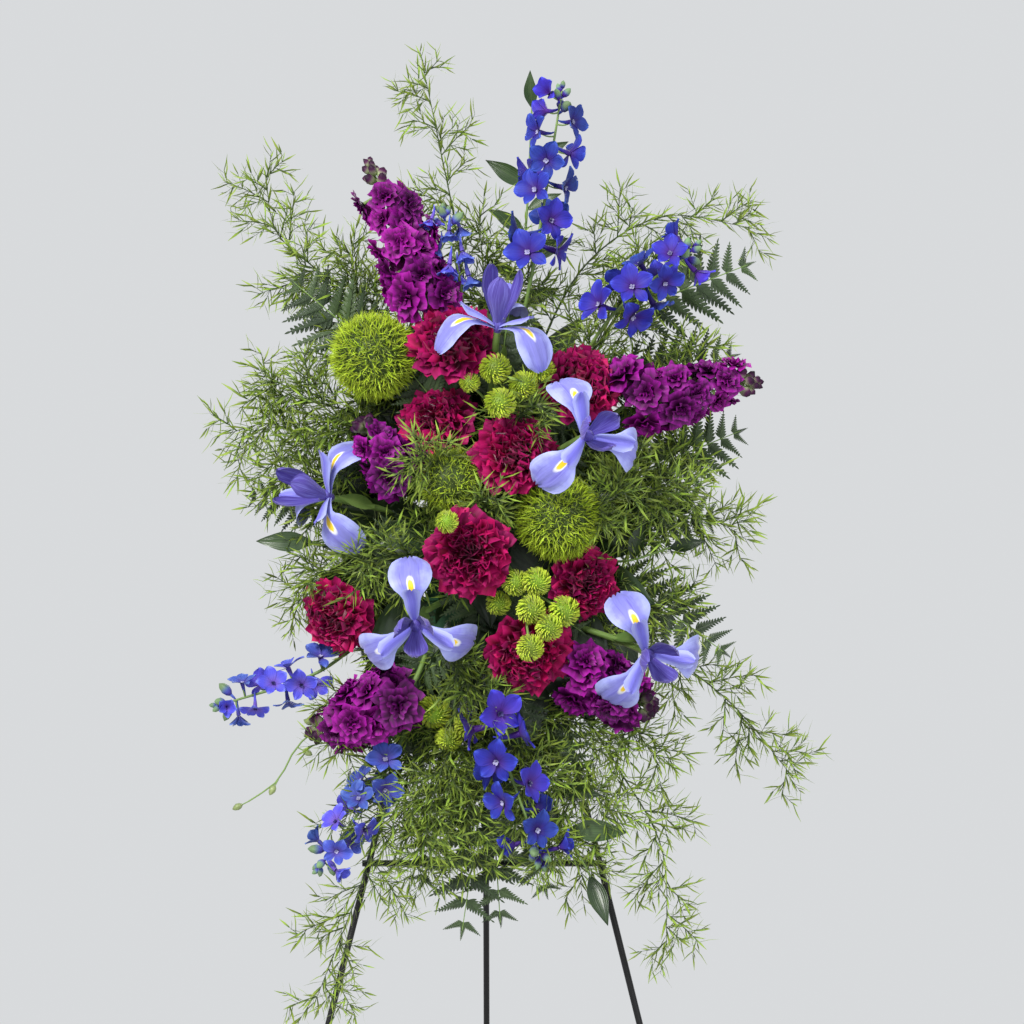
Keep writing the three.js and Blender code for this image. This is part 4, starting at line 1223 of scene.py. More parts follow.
@dataclass
class Irises(Plant):
    """Dutch irises: three falls, three standards and three crests round a throat.

    Attributes:
        blooms: Place, axis and way of the first fall of each bloom.
        fall: Reach, height and half width of a fall from root to edge.
        standard: The same of a standard.
        crest: The same of a crest.
        throat: Radius and height of the throat.
        seed: Seed before the first bloom.
    """

    blooms: Sequence[tuple[Place, Place, Place]] = (
        ((13, 165, 1298), (0.1, 0.5, 0.86), (-0.9, 0.35, 0)),
        ((94, 190, 1196), (0.3, 0.93, 0.1), (-0.3, 0, 1)),
        ((-64, 185, 1022), (0, 0.97, -0.2), (-0.1, 0, 1)),
        ((153, 165, 993), (0.25, 0.93, -0.15), (-0.42, 0, 0.9)),
        ((-146, 125, 1140), (-0.75, 0.62, 0.2), (0.35, 0.5, -0.8)),
    )
    fall: Sequence[Station] = (
        (3, 4, 3), (15, 10, 5.5), (27, 14, 9), (37, 14.5, 16.5), (46, 9, 20.5),
        (54, -2, 20.5), (58.5, -12, 16), (59, -19, 7),
    )
    standard: Sequence[Station] = ((3, 6, 2.5), (11, 24, 7), (18, 43, 11.5), (19, 56, 9), (17, 63, 2.5))
    crest: Sequence[Station] = ((4, 8, 3.5), (14, 16, 6), (25, 22.5, 8), (34, 28, 8.5), (40, 33, 3.5))
    throat: Sequence[tuple[float, float]] = ((3.5, -1), (4.5, 3), (5.5, 8), (6.0, 13))
    seed: int = 60

    def bloom(self) -> Model:
        """Return a whole bloom in millimetres, facing +Z, its first fall along +X."""
        fall = Petal(self.fall, 12, 14, cup=-0.16, ruffle=1.5, waves=7, kind=0.0).model()
        standard = Petal(self.standard, 8, 10, cup=0.35, ruffle=1.2, waves=5, kind=1.0).model()
        crest = Petal(self.crest, 8, 8, cup=-0.4, ruffle=1.0, waves=4, fray=1.5, kind=2.0, seed=4).model()
        bloom = ring_of(fall, 3)
        ring_of(crest, 3, into=bloom)
        ring_of(standard, 3, math.pi / 3, bloom)
        return bloom.join(turned_model(self.throat, 10, 1.0), UNTURNED)

    def build(self) -> None:
        """Build and dress each bloom."""
        group = self.nursery.models("iris_bloom", [self.bloom()])
        look = Look(Slot.IRIS, group, IrisFinish().material(), ruffle=0.006, ruffles=45.0)
        for number, (place, axis, first) in enumerate(self.blooms, 1):
            places = Places(self.seed + number)
            places.add(at(*place), squared(way(*axis), way(*first)), MM)
            self.nursery.dress_copies(places, f"iris_{number}_petals", look, number, f"iris_{number}")
        self.nursery.discard(group)


def spike_route(base: Place, tip: Place, depth: float) -> tuple[Route, float]:
    """Return the way of a flower spike and the share of it below the florets.

    Args:
        base: Lowest floret.
        tip: End of the spike.
        depth: Depth of its root in the foam.

    Returns:
        The way from the foam to the tip, and the share.
    """
    start, end = at(*base), at(*tip)
    root = root_in_foam(start, depth)
    route = Route.through([root, root.lerp(start, 0.55), start, end])
    return route, 1 - (end - start).length / route.length


def spike_facing(route: Route, share: float, turn: float) -> Vector:
    """Return the way a floret looks at a share of its spike and a turn round it."""
    spun = Vector((math.cos(turn), math.sin(turn), 0))
    facing = squared(route.tangent(share), Vector((0, -0.4, 1))) @ spun
    return (facing + VIEWER * 0.4).normalized()


def swayed(facing: Vector, dice: random.Random, sway: float = 0.28) -> Vector:
    """Return a direction turned a little at random."""
    return (facing + jitter(dice, sway)).normalized()


@dataclass(frozen=True)
class SpikeBuds:
    """The buds at the tip of a spike, which get smaller and point up more towards its end.

    Attributes:
        pick: Which of the models a bud is.
        rise: How far the first bud points up the spike, and what each next one adds.
        stalks: Length of the first stalk and of the last, in millimetres.
        thick: Radius of the stalks, in millimetres.
        sizes: Size of the first bud and of the last, in millimetres.
        turn: Turn of the first bud round the spike.
    """

    pick: int
    rise: tuple[float, float]
    stalks: tuple[float, float]
    thick: float
    sizes: tuple[float, float]
    turn: float = 0.0

    def add(self, route: Route, shares: Sequence[float], places: Places, twigs: Twigs) -> None:
        """Add a bud at each share of the way."""
        for k, along in enumerate(shares):
            done = k / (len(shares) - 1)
            up = route.tangent(1) * (self.rise[0] + self.rise[1] * k)
            facing = (spike_facing(route, along, k * GOLDEN_TURN + self.turn) + up).normalized()
            spot = route.point(along) + facing * (lerp(*self.stalks, done) * MM)
            twigs.add([route.point(along), spot], (self.thick, self.thick))
            places.add(spot, squared(facing), lerp(*self.sizes, done) * MM, self.pick)


@dataclass
class Stocks(Plant):
    """Stock spikes of double florets, with buds at the tip.

    Attributes:
        spikes: Base, tip, radius at both ends, number of florets and depth of the root.
        rings: Petals, opening at root and edge, length and half width of each ring of a floret.
        bud: Radius and height of a bud from root to tip.
        variants: Number of different florets.
        crowding: Florets for each one that the table counts.
        bare: Share of the spike that carries open florets.
        buds: Number of buds.
        seed: Seed before the first spike.
    """

    spikes: Sequence[tuple[Place, Place, float, float, int, float]] = (
        ((-52, 112, 1328), (-111, 92, 1462), 36, 25, 12, 57),
        ((148, 112, 1234), (262, 102, 1252), 35, 22, 11, 57),
        ((-78, 140, 1160), (-117, 134, 1210), 34, 20, 6, 60),
        ((-76, 130, 952), (-166, 108, 912), 36, 25, 10, 57),
        ((92, 122, 968), (160, 140, 938), 35, 25, 9, 57),
    )
    rings: Sequence[tuple[int, float, float, float, float]] = (
        (4, 52, 104, 1.30, 0.66), (4, 36, 84, 1.10, 0.56), (3, 14, 60, 0.88, 0.44), (2, 0, 34, 0.62, 0.30),
    )
    bud: Sequence[tuple[float, float]] = (
        (0.12, -0.6), (0.42, -0.3), (0.5, 0.1), (0.36, 0.55), (0.05, 0.8),
    )
    variants: int = 3
    crowding: float = 1.75
    bare: float = 0.80
    buds: int = 12
    seed: int = 80

    def florets(self) -> list[Model]:
        """Return a few double florets of unit radius, facing +Z, and a bud."""
        models = []
        for k in range(self.variants):
            floret = Model()
            for ring, (count, start, end, length, half) in enumerate(self.rings):
                widths = (0.08, half * 0.55, half, half * 0.96)
                blade = Petal(
                    arc(length, start, end, widths), across=7, along=4, cup=0.08,
                    ruffle=0.12, waves=3 + ring, phase=1.3 * k + ring, fray=0.05, seed=20 * k + ring,
                ).model()
                petals = ring_of(blade, count, 0.9 * ring + k)
                floret.join(petals, UNTURNED, UP * -0.25)
            models.append(floret)
        bud = turned_model(self.bud, 7, 2.0)
        bud.uvs = [(u, 1.0 - v) for u, v in bud.uvs]
        return [*models, bud]

    def build(self) -> None:
        """Build and dress each spike."""
        group = self.nursery.models("stock_floret", self.florets())
        # The first colour, nearly black, is painted shade at the petal roots, deep in the spike.
        finish = SpikeFinish(
            "stock_petal", (0.018, 0.0, 0.016), (0.100, 0.0, 0.086), (0.270, 0.002, 0.250),
            veins=9, streak=0.4, spread=0.8, sheen=0.0, green=(0.34, 0.42, 0.20),
        ).material()
        look = Look(Slot.STOCK, group, finish, ruffle=0.008, ruffles=75.0)
        buds = SpikeBuds(self.variants, rise=(0.6, 0.12), stalks=(13, 4), thick=0.8, sizes=(11, 6))
        for number, (base, tip, wide, narrow, florets, depth) in enumerate(self.spikes, 1):
            route, foot = spike_route(base, tip, depth)
            top = lerp(foot, 1.0, self.bare)
            places, twigs = Places(self.seed + number), Twigs()
            twigs.add(route.stretch(0, 0.99, 24), (2.8, 2.4, 1.6))
            count = round(florets * self.crowding)
            for i in range(count):
                share = i / (count - 1)
                along = lerp(foot, top, share)
                size = lerp(wide, narrow, share) * 1.05 * MM
                facing = swayed(spike_facing(route, along, i * GOLDEN_TURN), places.dice)
                centre = route.point(along) + facing * (size * places.dice.uniform(0.50, 0.98))
                twigs.add([route.point(along), centre - facing * (size * 0.1)], (1.1, 1.8))
                turn = squared(facing) @ spin_z(places.dice.uniform(0, FULL_TURN))
                places.add(centre, turn, size * places.dice.uniform(0.42, 0.56), i % self.variants)
            shares = [lerp(top, 1.0, (k + 1) / self.buds) for k in range(self.buds)]
            buds.add(route, shares, places, twigs)
            name = f"stock_{number}"
            self.nursery.dress_copies(places, f"{name}_florets", look, number, name)
            self.nursery.dress_stems(twigs, f"{name}_stem")
        self.nursery.discard(group)


@dataclass
class Delphiniums(Plant):
    """Delphinium spikes of five-petalled florets with curved spurs on green stalks.

    Attributes:
        nodding: Numbers of the spikes whose florets hang.
        pale: Numbers of the pale spikes.
        spikes: Base, tip, radius of the florets, their number and depth of the root.
        petals: Length and width of each petal of a floret.
        openings: Opening at the root and the edge of each kind of floret.
        halves: Half widths of a petal from root to edge.
        spur: Reach, height and radius of the spur from root to tip.
        bud: Radius and height of a bud from root to tip.
        bud_spur: Radius and height of its spur from tip to root.
        crowding: Florets for each one that the table counts.
        buds: Number of buds.
        seed: Seed before the first spike.
    """

    nodding: Sequence[int] = (3,)
    pale: Sequence[int] = (3, 4, 5)
    spikes: Sequence[tuple[Place, Place, float, int, float]] = (
        ((49, 92, 1372), (76, 82, 1538), 40, 9, 45),
        ((126, 122, 1318), (203, 122, 1381), 40, 7, 45),
        ((-24, 118, 1352), (-40, 112, 1416), 30, 5, 45),
        ((-158, 84, 972), (-258, 96, 938), 32, 7, 45),
        ((-92, 112, 880), (-158, 136, 784), 34, 8, 45),
        ((8, 152, 936), (56, 162, 792), 42, 7, 62),
    )
    petals: Sequence[tuple[float, float]] = (
        (1.08, 1.0), (1.04, 1.08), (0.92, 0.74), (0.90, 0.70), (1.02, 1.04),
    )
    openings: Sequence[tuple[float, float]] = ((62, 92), (52, 98), (66, 80), (30, 62))
    halves: Sequence[float] = (0.05, 0.14, 0.26, 0.35, 0.38, 0.27, 0.05)
    spur: Sequence[tuple[float, float, float]] = (
        (0.0, 0.05, 0.15), (0.02, -0.35, 0.11), (0.10, -0.70, 0.07), (0.24, -0.98, 0.03),
    )
    bud: Sequence[tuple[float, float]] = (
        (0.06, -0.5), (0.26, -0.25), (0.34, 0.05), (0.24, 0.4), (0.03, 0.62),
    )
    bud_spur: Sequence[tuple[float, float]] = ((0.02, -1.0), (0.08, -0.7), (0.12, -0.35))
    crowding: float = 1.6
    buds: int = 6
    seed: int = 100

    def florets(self) -> list[Model]:
        """Return open florets and a half open one of unit radius, facing +Z, up along +X, and a bud."""
        models = []
        dice = random.Random(9)
        for start, end in self.openings:
            floret = Model()
            for k, (turn, (length, slim)) in enumerate(zip(turns_round(5), self.petals)):
                widths = [half * slim for half in self.halves]
                lean = dice.uniform(-13, 13)
                stations = arc(length, start + lean, end + 1.4 * lean, widths)
                cup = dice.uniform(0.12, 0.42)
                blade = Petal(stations, across=6, along=7, cup=cup, ruffle=0.05, waves=3, phase=k).model()
                floret.join(blade, spin_z(turn - math.pi / 2))
            eye = Petal(arc(0.22, 20, 60, (0.04, 0.07, 0.05)), 3, 2, cup=0.3, fray=0.03, kind=1.0).model()
            ring_of(eye, 4, 0.6, floret)
            rows = []
            for reach, height, radius in self.spur:
                middle = Vector((reach, 0, height))
                around = [(math.cos(t), -math.sin(t)) for t in turns_round(6)]
                rows.append([middle + Vector((radius * x, radius * y, 0)) for x, y in around])
            models.append(floret.grid(rows, closed=True))
        bud = turned_model(self.bud, 7, 2.0)
        return [*models, bud.join(turned_model(self.bud_spur, 5), UNTURNED)]

    def build(self) -> None:
        """Build and dress each spike."""
        group = self.nursery.models("delphinium_floret", self.florets())
        # The first colour of each is the petals' own deeper violet at the root, darkened as painted shade.
        colours = (
            ("delphinium_petal", (0.045, 0.012, 0.19), (0.020, 0.023, 0.34), (0.046, 0.078, 0.57)),
            ("pale_delphinium_petal", (0.09, 0.06, 0.36), (0.060, 0.085, 0.50), (0.16, 0.23, 0.72)),
        )
        looks = []
        for name, root, body, edge in colours:
            finish = SpikeFinish(
                name, root, body, edge, veins=10, streak=0.35, spread=0.6, hue=0.03, sheen=0.1
            ).material()
            looks.append(Look(Slot.DELPHINIUM, group, finish, ruffle=0.003, ruffles=60.0))
        bud, half_open = len(self.openings), len(self.openings) - 1
        buds = SpikeBuds(bud, rise=(0.5, 0.3), stalks=(14, 4), thick=0.5, sizes=(15, 8), turn=1.0)
        for number, (base, tip, size, florets, depth) in enumerate(self.spikes, 1):
            route, foot = spike_route(base, tip, depth)
            places, twigs = Places(self.seed + number), Twigs()
            twigs.add(route.stretch(0, 0.995, 24), (2.1, 1.8, 1.0))
            count = round(florets * self.crowding)
            for i in range(count):
                share = i / (count - 1)
                along = lerp(foot, 0.97, share)
                here = size * (1 - 0.25 * share) * MM
                facing = swayed(spike_facing(route, along, i * GOLDEN_TURN), places.dice)
                centre = route.point(along) + facing * (size * 0.45 * MM)
                nods = number in self.nodding
                if nods:
                    facing = (facing * 0.45 - UP).normalized()
                knee = route.point(along).lerp(centre, 0.6) + UP * (0.008 if nods else -0.004)
                twigs.add(Route.bent(route.point(along), knee, centre, 8).stretch(0, 0.9, 6), (0.9, 0.6))
                kind = half_open if nods or share >= 0.86 else i % half_open
                turn = squared(facing, UP) @ spin_z(places.dice.uniform(-0.5, 0.5))
                places.add(centre, turn, here * 0.60, kind)
            shares = [lerp(0.93, 1.0, k / (self.buds - 1)) for k in range(self.buds)]
            buds.add(route, shares, places, twigs)
            name = f"delphinium_{number}"
            look = looks[number in self.pale]
            self.nursery.dress_copies(places, f"{name}_florets", look, number, name)
            self.nursery.dress_stems(twigs, f"{name}_stem")
        self.nursery.discard(group)


@dataclass
class GreenDianthus(Plant):
    """Fuzzy lime balls, each by centre and radius.

    Attributes:
        balls: Centre and radius of each ball.
        bristles: Number of bristles on a ball of the counted radius.
        counted_radius: Radius that the number of bristles belongs to.
    """

    balls: Sequence[tuple[float, float, float, float]] = (
        (-106, 118, 1276, 43), (72, 136, 1121, 42), (-32, 148, 1157, 31),
    )
    bristles: int = 4200
    counted_radius: float = 43.0

    @staticmethod
    def bristle() -> Model:
        """Return a thin, slightly bent bristle of unit length along +Z."""
        stations = ((0, 0, 0.045), (0.05, 0.5, 0.042), (0.20, 1.0, 0.004))
        return Petal(stations, across=1, along=2).model()

    def build(self) -> None:
        """Build and dress each ball on its stem."""
        mesh = self.bristle().mesh("dianthus_bristle")
        bristle = bpy.data.objects.new("dianthus_bristle", mesh)
        finish = FuzzFinish("dianthus_bristle", (0.045, 0.09, 0.002), (0.40, 0.53, 0.015)).material()
        for number, (x, out, z, radius) in enumerate(self.balls, 1):
            centre = at(x, out, z)
            facing = (centre - HEART).normalized()
            core = radius * 0.80 * MM
            density = self.bristles * (radius / self.counted_radius) ** 2 / (4 * math.pi * core**2)
            name = f"green_dianthus_{number}"
            scaffold = bpy.data.objects.new(f"{name}_ball", bpy.data.meshes.new("ball"))
            inputs = {"Bristle": bristle, "Radius": core, "Centre": list(centre), "Density": density}
            inputs |= {"Length": radius * 0.29 * MM, "Lean": 0.8, "Seed": number, "Finish": finish}
            declare(self.nursery.fuzz.grow(scaffold, inputs), Slot.LIME, name)
            twigs = Twigs()
            root = root_in_foam(centre, GREEN_DEPTH)
            knee = centre - facing * (0.35 * (centre - root).length)
            twigs.add(Route.bent(root, knee, centre).stretch(0, 0.95, 16), (2.0, 2.2))
            self.nursery.dress_stems(twigs, f"{name}_stem")
        bpy.data.objects.remove(bristle)


@dataclass
class ButtonPoms(Plant):
    """Bunches of button chrysanthemums, each head by centre and radius."""

    bunches: Sequence[Sequence[tuple[float, float, float, float]]] = (
        (
            (11, 170, 1262, 15), (16, 184, 1229, 15), (38, 170, 1246, 14), (-13, 166, 1249, 10),
            (56, 148, 1262, 13),
        ),
        (
            (30, 168, 1059, 13), (50, 172, 1060, 14), (45, 188, 1034, 14), (76, 176, 1032, 15),
            (62, 192, 1017, 13), (14, 158, 1039, 12), (44, 206, 999, 13),
        ),
        ((-13, 128, 921, 16), (-48, 130, 934, 17), (-34, 128, 908, 13)),
    )
    single: tuple[float, float, float, float] = (-34, 200, 1117, 11)
    core: Sequence[tuple[float, float]] = (
        (0.1, -0.7), (0.55, -0.5), (0.72, -0.1), (0.62, 0.3), (0.35, 0.55), (0.02, 0.62),
    )
    florets: int = 210
    seed: int = 120

    def build(self) -> None:
        """Build and dress each bunch on its forked stalk."""
        widths = (0.04, 0.06, 0.07, 0.065, 0.035)
        floret = Petal(arc(0.40, 0, 35, widths), across=2, along=4, cup=0.9).model()
        core = turned_model(self.core, 10)
        core.looses = [0.0] * len(core.looses)
        group = self.nursery.models("pom_floret", [floret, core])
        finish = FuzzFinish("pom_floret", (0.15, 0.25, 0.004), (0.55, 0.66, 0.045), turn=0.5).material()
        look = Look(Slot.LIME, group, finish, ruffle=0.001)
        for number, heads in enumerate((*self.bunches, (self.single,)), 1):
            centres = [at(x, out, z) for x, out, z, _ in heads]
            middle = sum(centres, Vector()) / len(centres)
            root = root_in_foam(middle, GREEN_DEPTH)
            places, twigs = Places(self.seed + number), Twigs()
            twigs.add([root, root.lerp(middle, 0.8)], (2.2, 1.8))
            for i, (centre, (_, _, _, radius)) in enumerate(zip(centres, heads)):
                facing = ((centre - HEART).normalized() + VIEWER * 0.8).normalized()
                self.head(places, centre, facing, radius * MM)
                fork = root.lerp(middle, 0.45 + 0.32 * i / len(heads))
                end = centre - facing * (radius * 0.4 * MM)
                twigs.add([fork, fork.lerp(centre, 0.6), end], (1.2, 1.2))
            name = f"button_poms_{number}"
            nodes = [name] if number <= len(self.bunches) else []
            self.nursery.dress_copies(places, f"{name}_heads", look, number, *nodes)
            self.nursery.dress_stems(twigs, f"{name}_stalk")
        self.nursery.discard(group)

    def head(self, places: Places, centre: Vector, facing: Vector, radius: float) -> None:
        """Add the florets of one head in a spiral round its eye."""
        turn = squared(facing)
        places.add(centre, turn, radius, 1)
        for i in range(self.florets):
            share = (i + 0.5) / self.florets
            down = math.acos(1 - 1.55 * share)
            spin = i * GOLDEN_TURN + places.dice.uniform(-0.16, 0.16)
            x, y = math.cos(spin), math.sin(spin)
            out = Vector((math.sin(down) * x, math.sin(down) * y, 0.85 * math.cos(down)))
            side = Vector((x, y, 0))
            along = (out + side * 0.25).normalized()
            normal = along.cross(side.cross(UP)).normalized()
            here = turn @ squared(along, -normal) @ spin_z(math.pi)
            size = radius * lerp(0.62, 1.05, min(1, share * 2.5)) * places.dice.uniform(0.85, 1.12)
            places.add(centre + turn @ (out * radius * 0.62), here, size, 0)


# Greens


def numbered(name: str, rows: Sequence[tuple]) -> list[tuple]:
    """Return the rows of a table with the name of each first."""
    return [(f"{name}_{k}", *row) for k, row in enumerate(rows, 1)]


@dataclass
class Leatherleaf(Plant):
    """Fern fronds, twice divided: by start, tip, width and lift of the blade."""

    fronds: Sequence[tuple[Place, Place, float, float]] = (
        ((-88, 62, 1268), (-188, 74, 1352), 96, 12),
        ((130, 52, 1318), (262, 60, 1370), 92, 14),
        ((120, 62, 1252), (248, 70, 1280), 78, 10),
        ((140, 62, 1160), (252, 76, 1206), 84, 14),
        ((-130, 58, 1128), (-232, 66, 1142), 60, 8),
        ((6, 78, 905), (-22, 122, 716), 96, 10),
        ((130, 60, 1066), (238, 84, 986), 80, 12),
    )
    fillers: Sequence[tuple[Place, Place, float, float]] = (
        ((-20, 92, 1200), (-72, 118, 1262), 76, 10),
        ((24, 92, 1140), (92, 118, 1190), 76, 8),
        ((-30, 92, 1110), (-105, 112, 1080), 80, 8),
        ((20, 92, 1060), (95, 112, 1010), 80, 8),
        ((-14, 92, 1030), (-70, 118, 960), 80, 8),
        ((10, 92, 980), (34, 124, 900), 76, 8),
        ((-30, 92, 1160), (-110, 100, 1176), 80, 8),
        ((10, 92, 1230), (26, 112, 1330), 76, 8),
        ((40, 92, 1210), (120, 104, 1262), 76, 8),
        ((30, 80, 950), (90, 112, 860), 80, 8),
        ((-40, 80, 950), (-110, 108, 880), 80, 8),
        ((0, 96, 1100), (10, 118, 1180), 84, 8),
        ((0, 96, 1090), (-6, 118, 1010), 84, 8),
        ((4, 70, 905), (16, 112, 726), 90, 8),
        ((14, 70, 915), (62, 108, 752), 78, 8),
        ((-14, 70, 915), (-62, 108, 762), 78, 8),
        ((110, 60, 1130), (226, 80, 1120), 84, 10),
        ((-50, 40, 1150), (-132, 34, 1190), 74, 8),
        ((-50, 36, 1090), (-136, 26, 1080), 74, 8),
        ((-50, 44, 1030), (-126, 34, 990), 74, 8),
        ((50, 40, 1150), (132, 34, 1190), 74, 8),
        ((50, 36, 1090), (138, 26, 1090), 74, 8),
        ((50, 44, 1030), (126, 34, 980), 74, 8),
    )
    pairs: int = 9
    leaflets: int = 9
    spine: Sequence[Station] = (
        (0, 0, 0.03), (0.15, 0.01, 0.04), (0.5, 0.02, 0.035), (0.85, 0.01, 0.025), (1.0, 0.0, 0.004),
    )
    spread: float = math.radians(52)
    seed: int = 140

    def pinna(self) -> Model:
        """Return a side frond of unit length along +Y with its own cut leaflets."""
        pinna = Petal(self.spine, across=2, along=6, cup=-0.2).model()
        for i in range(self.leaflets):
            share = i / self.leaflets
            length = lerp(0.25, 0.06, share)
            widths = [lerp(0.048, 0.026, share) * w for w in (0.7, 0.95, 1.0, 0.75, 0.1)]
            stations = [(length * k / 4, -0.05 * length * k, widths[k]) for k in range(5)]
            leaflet = Petal(stations, across=2, along=6, cup=-0.25).model()
            for side in (-1, 1):
                pinna.join(leaflet, spin_z(-side * self.spread), Vector((0, 0.06 + 0.9 * share, 0.004)))
        tip = Petal(((0, 0, 0.012), (0.06, 0, 0.024), (0.13, -0.01, 0.002)), across=2, along=3).model()
        return pinna.join(tip, UNTURNED, Vector((0, 0.93, 0)))

    def build(self) -> None:
        """Build and dress each frond on its stalk."""
        group = self.nursery.models("fern_pinna", [self.pinna()])
        finish = LeafFinish(
            "fern_leaflet", (0.013, 0.034, 0.009), (0.090, 0.145, 0.045),
            veins=5, slant=2.0, rib=0.35, roughness=0.42,
        ).material()
        look = Look(Slot.FERN, group, finish, ruffle=0.004, ruffles=60.0)
        rows = numbered("leatherleaf", self.fronds) + numbered("leatherleaf_sprig", self.fillers)
        for number, (name, base, tip, width, lift) in enumerate(rows, 1):
            start, end = at(*base), at(*tip)
            root = root_in_foam(start, FROND_DEPTH)
            rib = Route.bent(start, start.lerp(end, 0.5) + VIEWER * (lift * MM), end)
            across = (end - start).cross(VIEWER).normalized()
            places, twigs = Places(self.seed + number), Twigs()
            for i in range(self.pairs):
                share = (i + 0.3) / self.pairs
                reach = width / 2 * MM * math.sin(math.pi * (0.24 + 0.72 * share)) ** 0.8
                for side in (-1, 1):
                    along = across * side + rib.tangent(share) * 0.55 + VIEWER * 0.14
                    along += jitter(places.dice, 0.07)
                    turn = blade_turn(along, VIEWER + jitter(places.dice, 0.25))
                    size = reach * 1.12 * places.dice.uniform(0.93, 1.05)
                    places.add(rib.point(share), turn, size)
            crown = blade_turn(rib.tangent(0.98), VIEWER)
            places.add(rib.point(0.93), crown, width * 0.16 * MM)
            stalk = Route.bent(root, root.lerp(start, 0.6), start)
            twigs.add(stalk.stretch(0, 1, 12), (1.6, 1.4))
            twigs.add(rib.stretch(0, 0.98, 20), (1.3, 0.9, 0.4))
            nodes = [name] if number <= len(self.fronds) else []
            self.nursery.dress_copies(places, f"{name}_blade", look, number, *nodes)
            self.nursery.dress_stems(twigs, f"{name}_rib", 6)
        self.nursery.discard(group)


@dataclass
class Ruscus(Plant):
    """Leafy stems: by the points that they run through, with the number and length of the leaves."""

    stems: Sequence[tuple[Sequence[Place], int, float]] = (
        (((20, 20, 1235), (40, 20, 1400), (47, 30, 1532)), 9, 50),
        (((-70, 66, 1096), (-128, 84, 1098), (-168, 92, 1096)), 4, 56),
        (((72, 72, 1096), (130, 98, 1078), (182, 104, 1092)), 6, 50),
        (((30, 72, 965), (66, 112, 850), (104, 124, 772)), 8, 60),
    )
    leaf: Sequence[Station] = (
        (0, 0, 0.012), (0.12, 0.01, 0.08), (0.32, 0.02, 0.165), (0.55, 0.03, 0.165), (0.78, 0.01, 0.09),
        (1, -0.05, 0.003),
    )
    seed: int = 160

    def build(self) -> None:
        """Build and dress each leafy stem."""
        leaf = Petal(self.leaf, across=8, along=12, cup=0.28, ruffle=0.012, waves=4).model()
        group = self.nursery.models("ruscus_leaf", [leaf])
        finish = LeafFinish(
            "ruscus_leaf", (0.010, 0.030, 0.007), (0.055, 0.105, 0.024),
            veins=9, rib=0.3, roughness=0.36, coat=0.35,
        ).material()
        look = Look(Slot.RUSCUS, group, finish, ruffle=0.004, ruffles=30.0)
        for number, (knots, leaves, size) in enumerate(self.stems, 1):
            points = [at(*knot) for knot in knots]
            route = Route.through([root_in_foam(points[0], RUSCUS_DEPTH), *points])
            places, twigs = Places(self.seed + number), Twigs()
            twigs.add(route.stretch(0, 0.99, 24), (1.7, 1.5, 0.9))
            for i in range(leaves):
                last = i == leaves - 1
                share = 0.985 if last else 0.42 + 0.55 * i / leaves
                tangent = route.tangent(share)
                side = tangent.cross(VIEWER).normalized() * (1 if i % 2 else -1)
                along = side * (0.05 if last else 1) + tangent * 0.55 + VIEWER * (0.2 if i % 3 else -0.1)
                turn = blade_turn(along, VIEWER + jitter(places.dice, 0.3))
                places.add(route.point(share), turn, size * (1 - 0.12 * (i % 3)) * MM)
            name = f"ruscus_{number}"
            self.nursery.dress_copies(places, f"{name}_leaves", look, number, name)
            self.nursery.dress_stems(twigs, f"{name}_stem")
        self.nursery.discard(group)


@dataclass
class BroadLeaves(Plant):
    """Dark broad leaves deep in the spray, coloured near black as painted shade, that close the gaps between
    the flowers.

    Attributes:
        leaves: Number of leaves.
        reach: How far they spread across and up.
        depths: Depth of the outermost leaf and of the innermost.
        lengths: Length of the shortest leaf and of the longest.
        leaf: Reach, height and half width of a leaf of unit length.
        seed: Seed of the leaves.
    """

    leaves: int = 64
    reach: Sequence[float] = (112, 176)
    depths: Sequence[float] = (58, 112)
    lengths: Sequence[float] = (64, 90)
    leaf: Sequence[Station] = (
        (0, 0, 0.02), (0.10, 0.02, 0.17), (0.32, 0.06, 0.27), (0.58, 0.06, 0.25), (0.84, 0.0, 0.13),
        (1, -0.07, 0.004),
    )
    seed: int = 240

    def build(self) -> None:
        """Build and dress all the leaves as one piece."""
        leaf = Petal(self.leaf, across=8, along=10, cup=0.2, ruffle=0.02, waves=5).model()
        group = self.nursery.models("broad_leaf", [leaf])
        # Near-black greens: painted shade between the flowers.
        finish = LeafFinish(
            "broad_leaf", (0.006, 0.018, 0.004), (0.030, 0.065, 0.014), veins=6, slant=1.4, rib=0.3
        ).material()
        places = Places(self.seed)
        for i in range(self.leaves):
            share = math.sqrt((i + 0.5) / self.leaves)
            turn = i * GOLDEN_TURN
            across = share * self.reach[0] * math.cos(turn)
            up = share * self.reach[1] * math.sin(turn)
            spot = on_frame(across, up, lerp(self.depths[1], self.depths[0], share))
            ahead = Vector((across, 0, up)).normalized() + VIEWER * places.dice.uniform(-0.1, 0.5)
            normal = VIEWER + jitter(places.dice, 0.5)
            size = places.dice.uniform(*self.lengths) * MM
            places.add(spot, blade_turn(ahead, normal), size)
        look = Look(Slot.RUSCUS, group, finish, ruffle=0.008, ruffles=25.0)
        self.nursery.dress_copies(places, "broad_leaves", look, 1)
        self.nursery.discard(group)


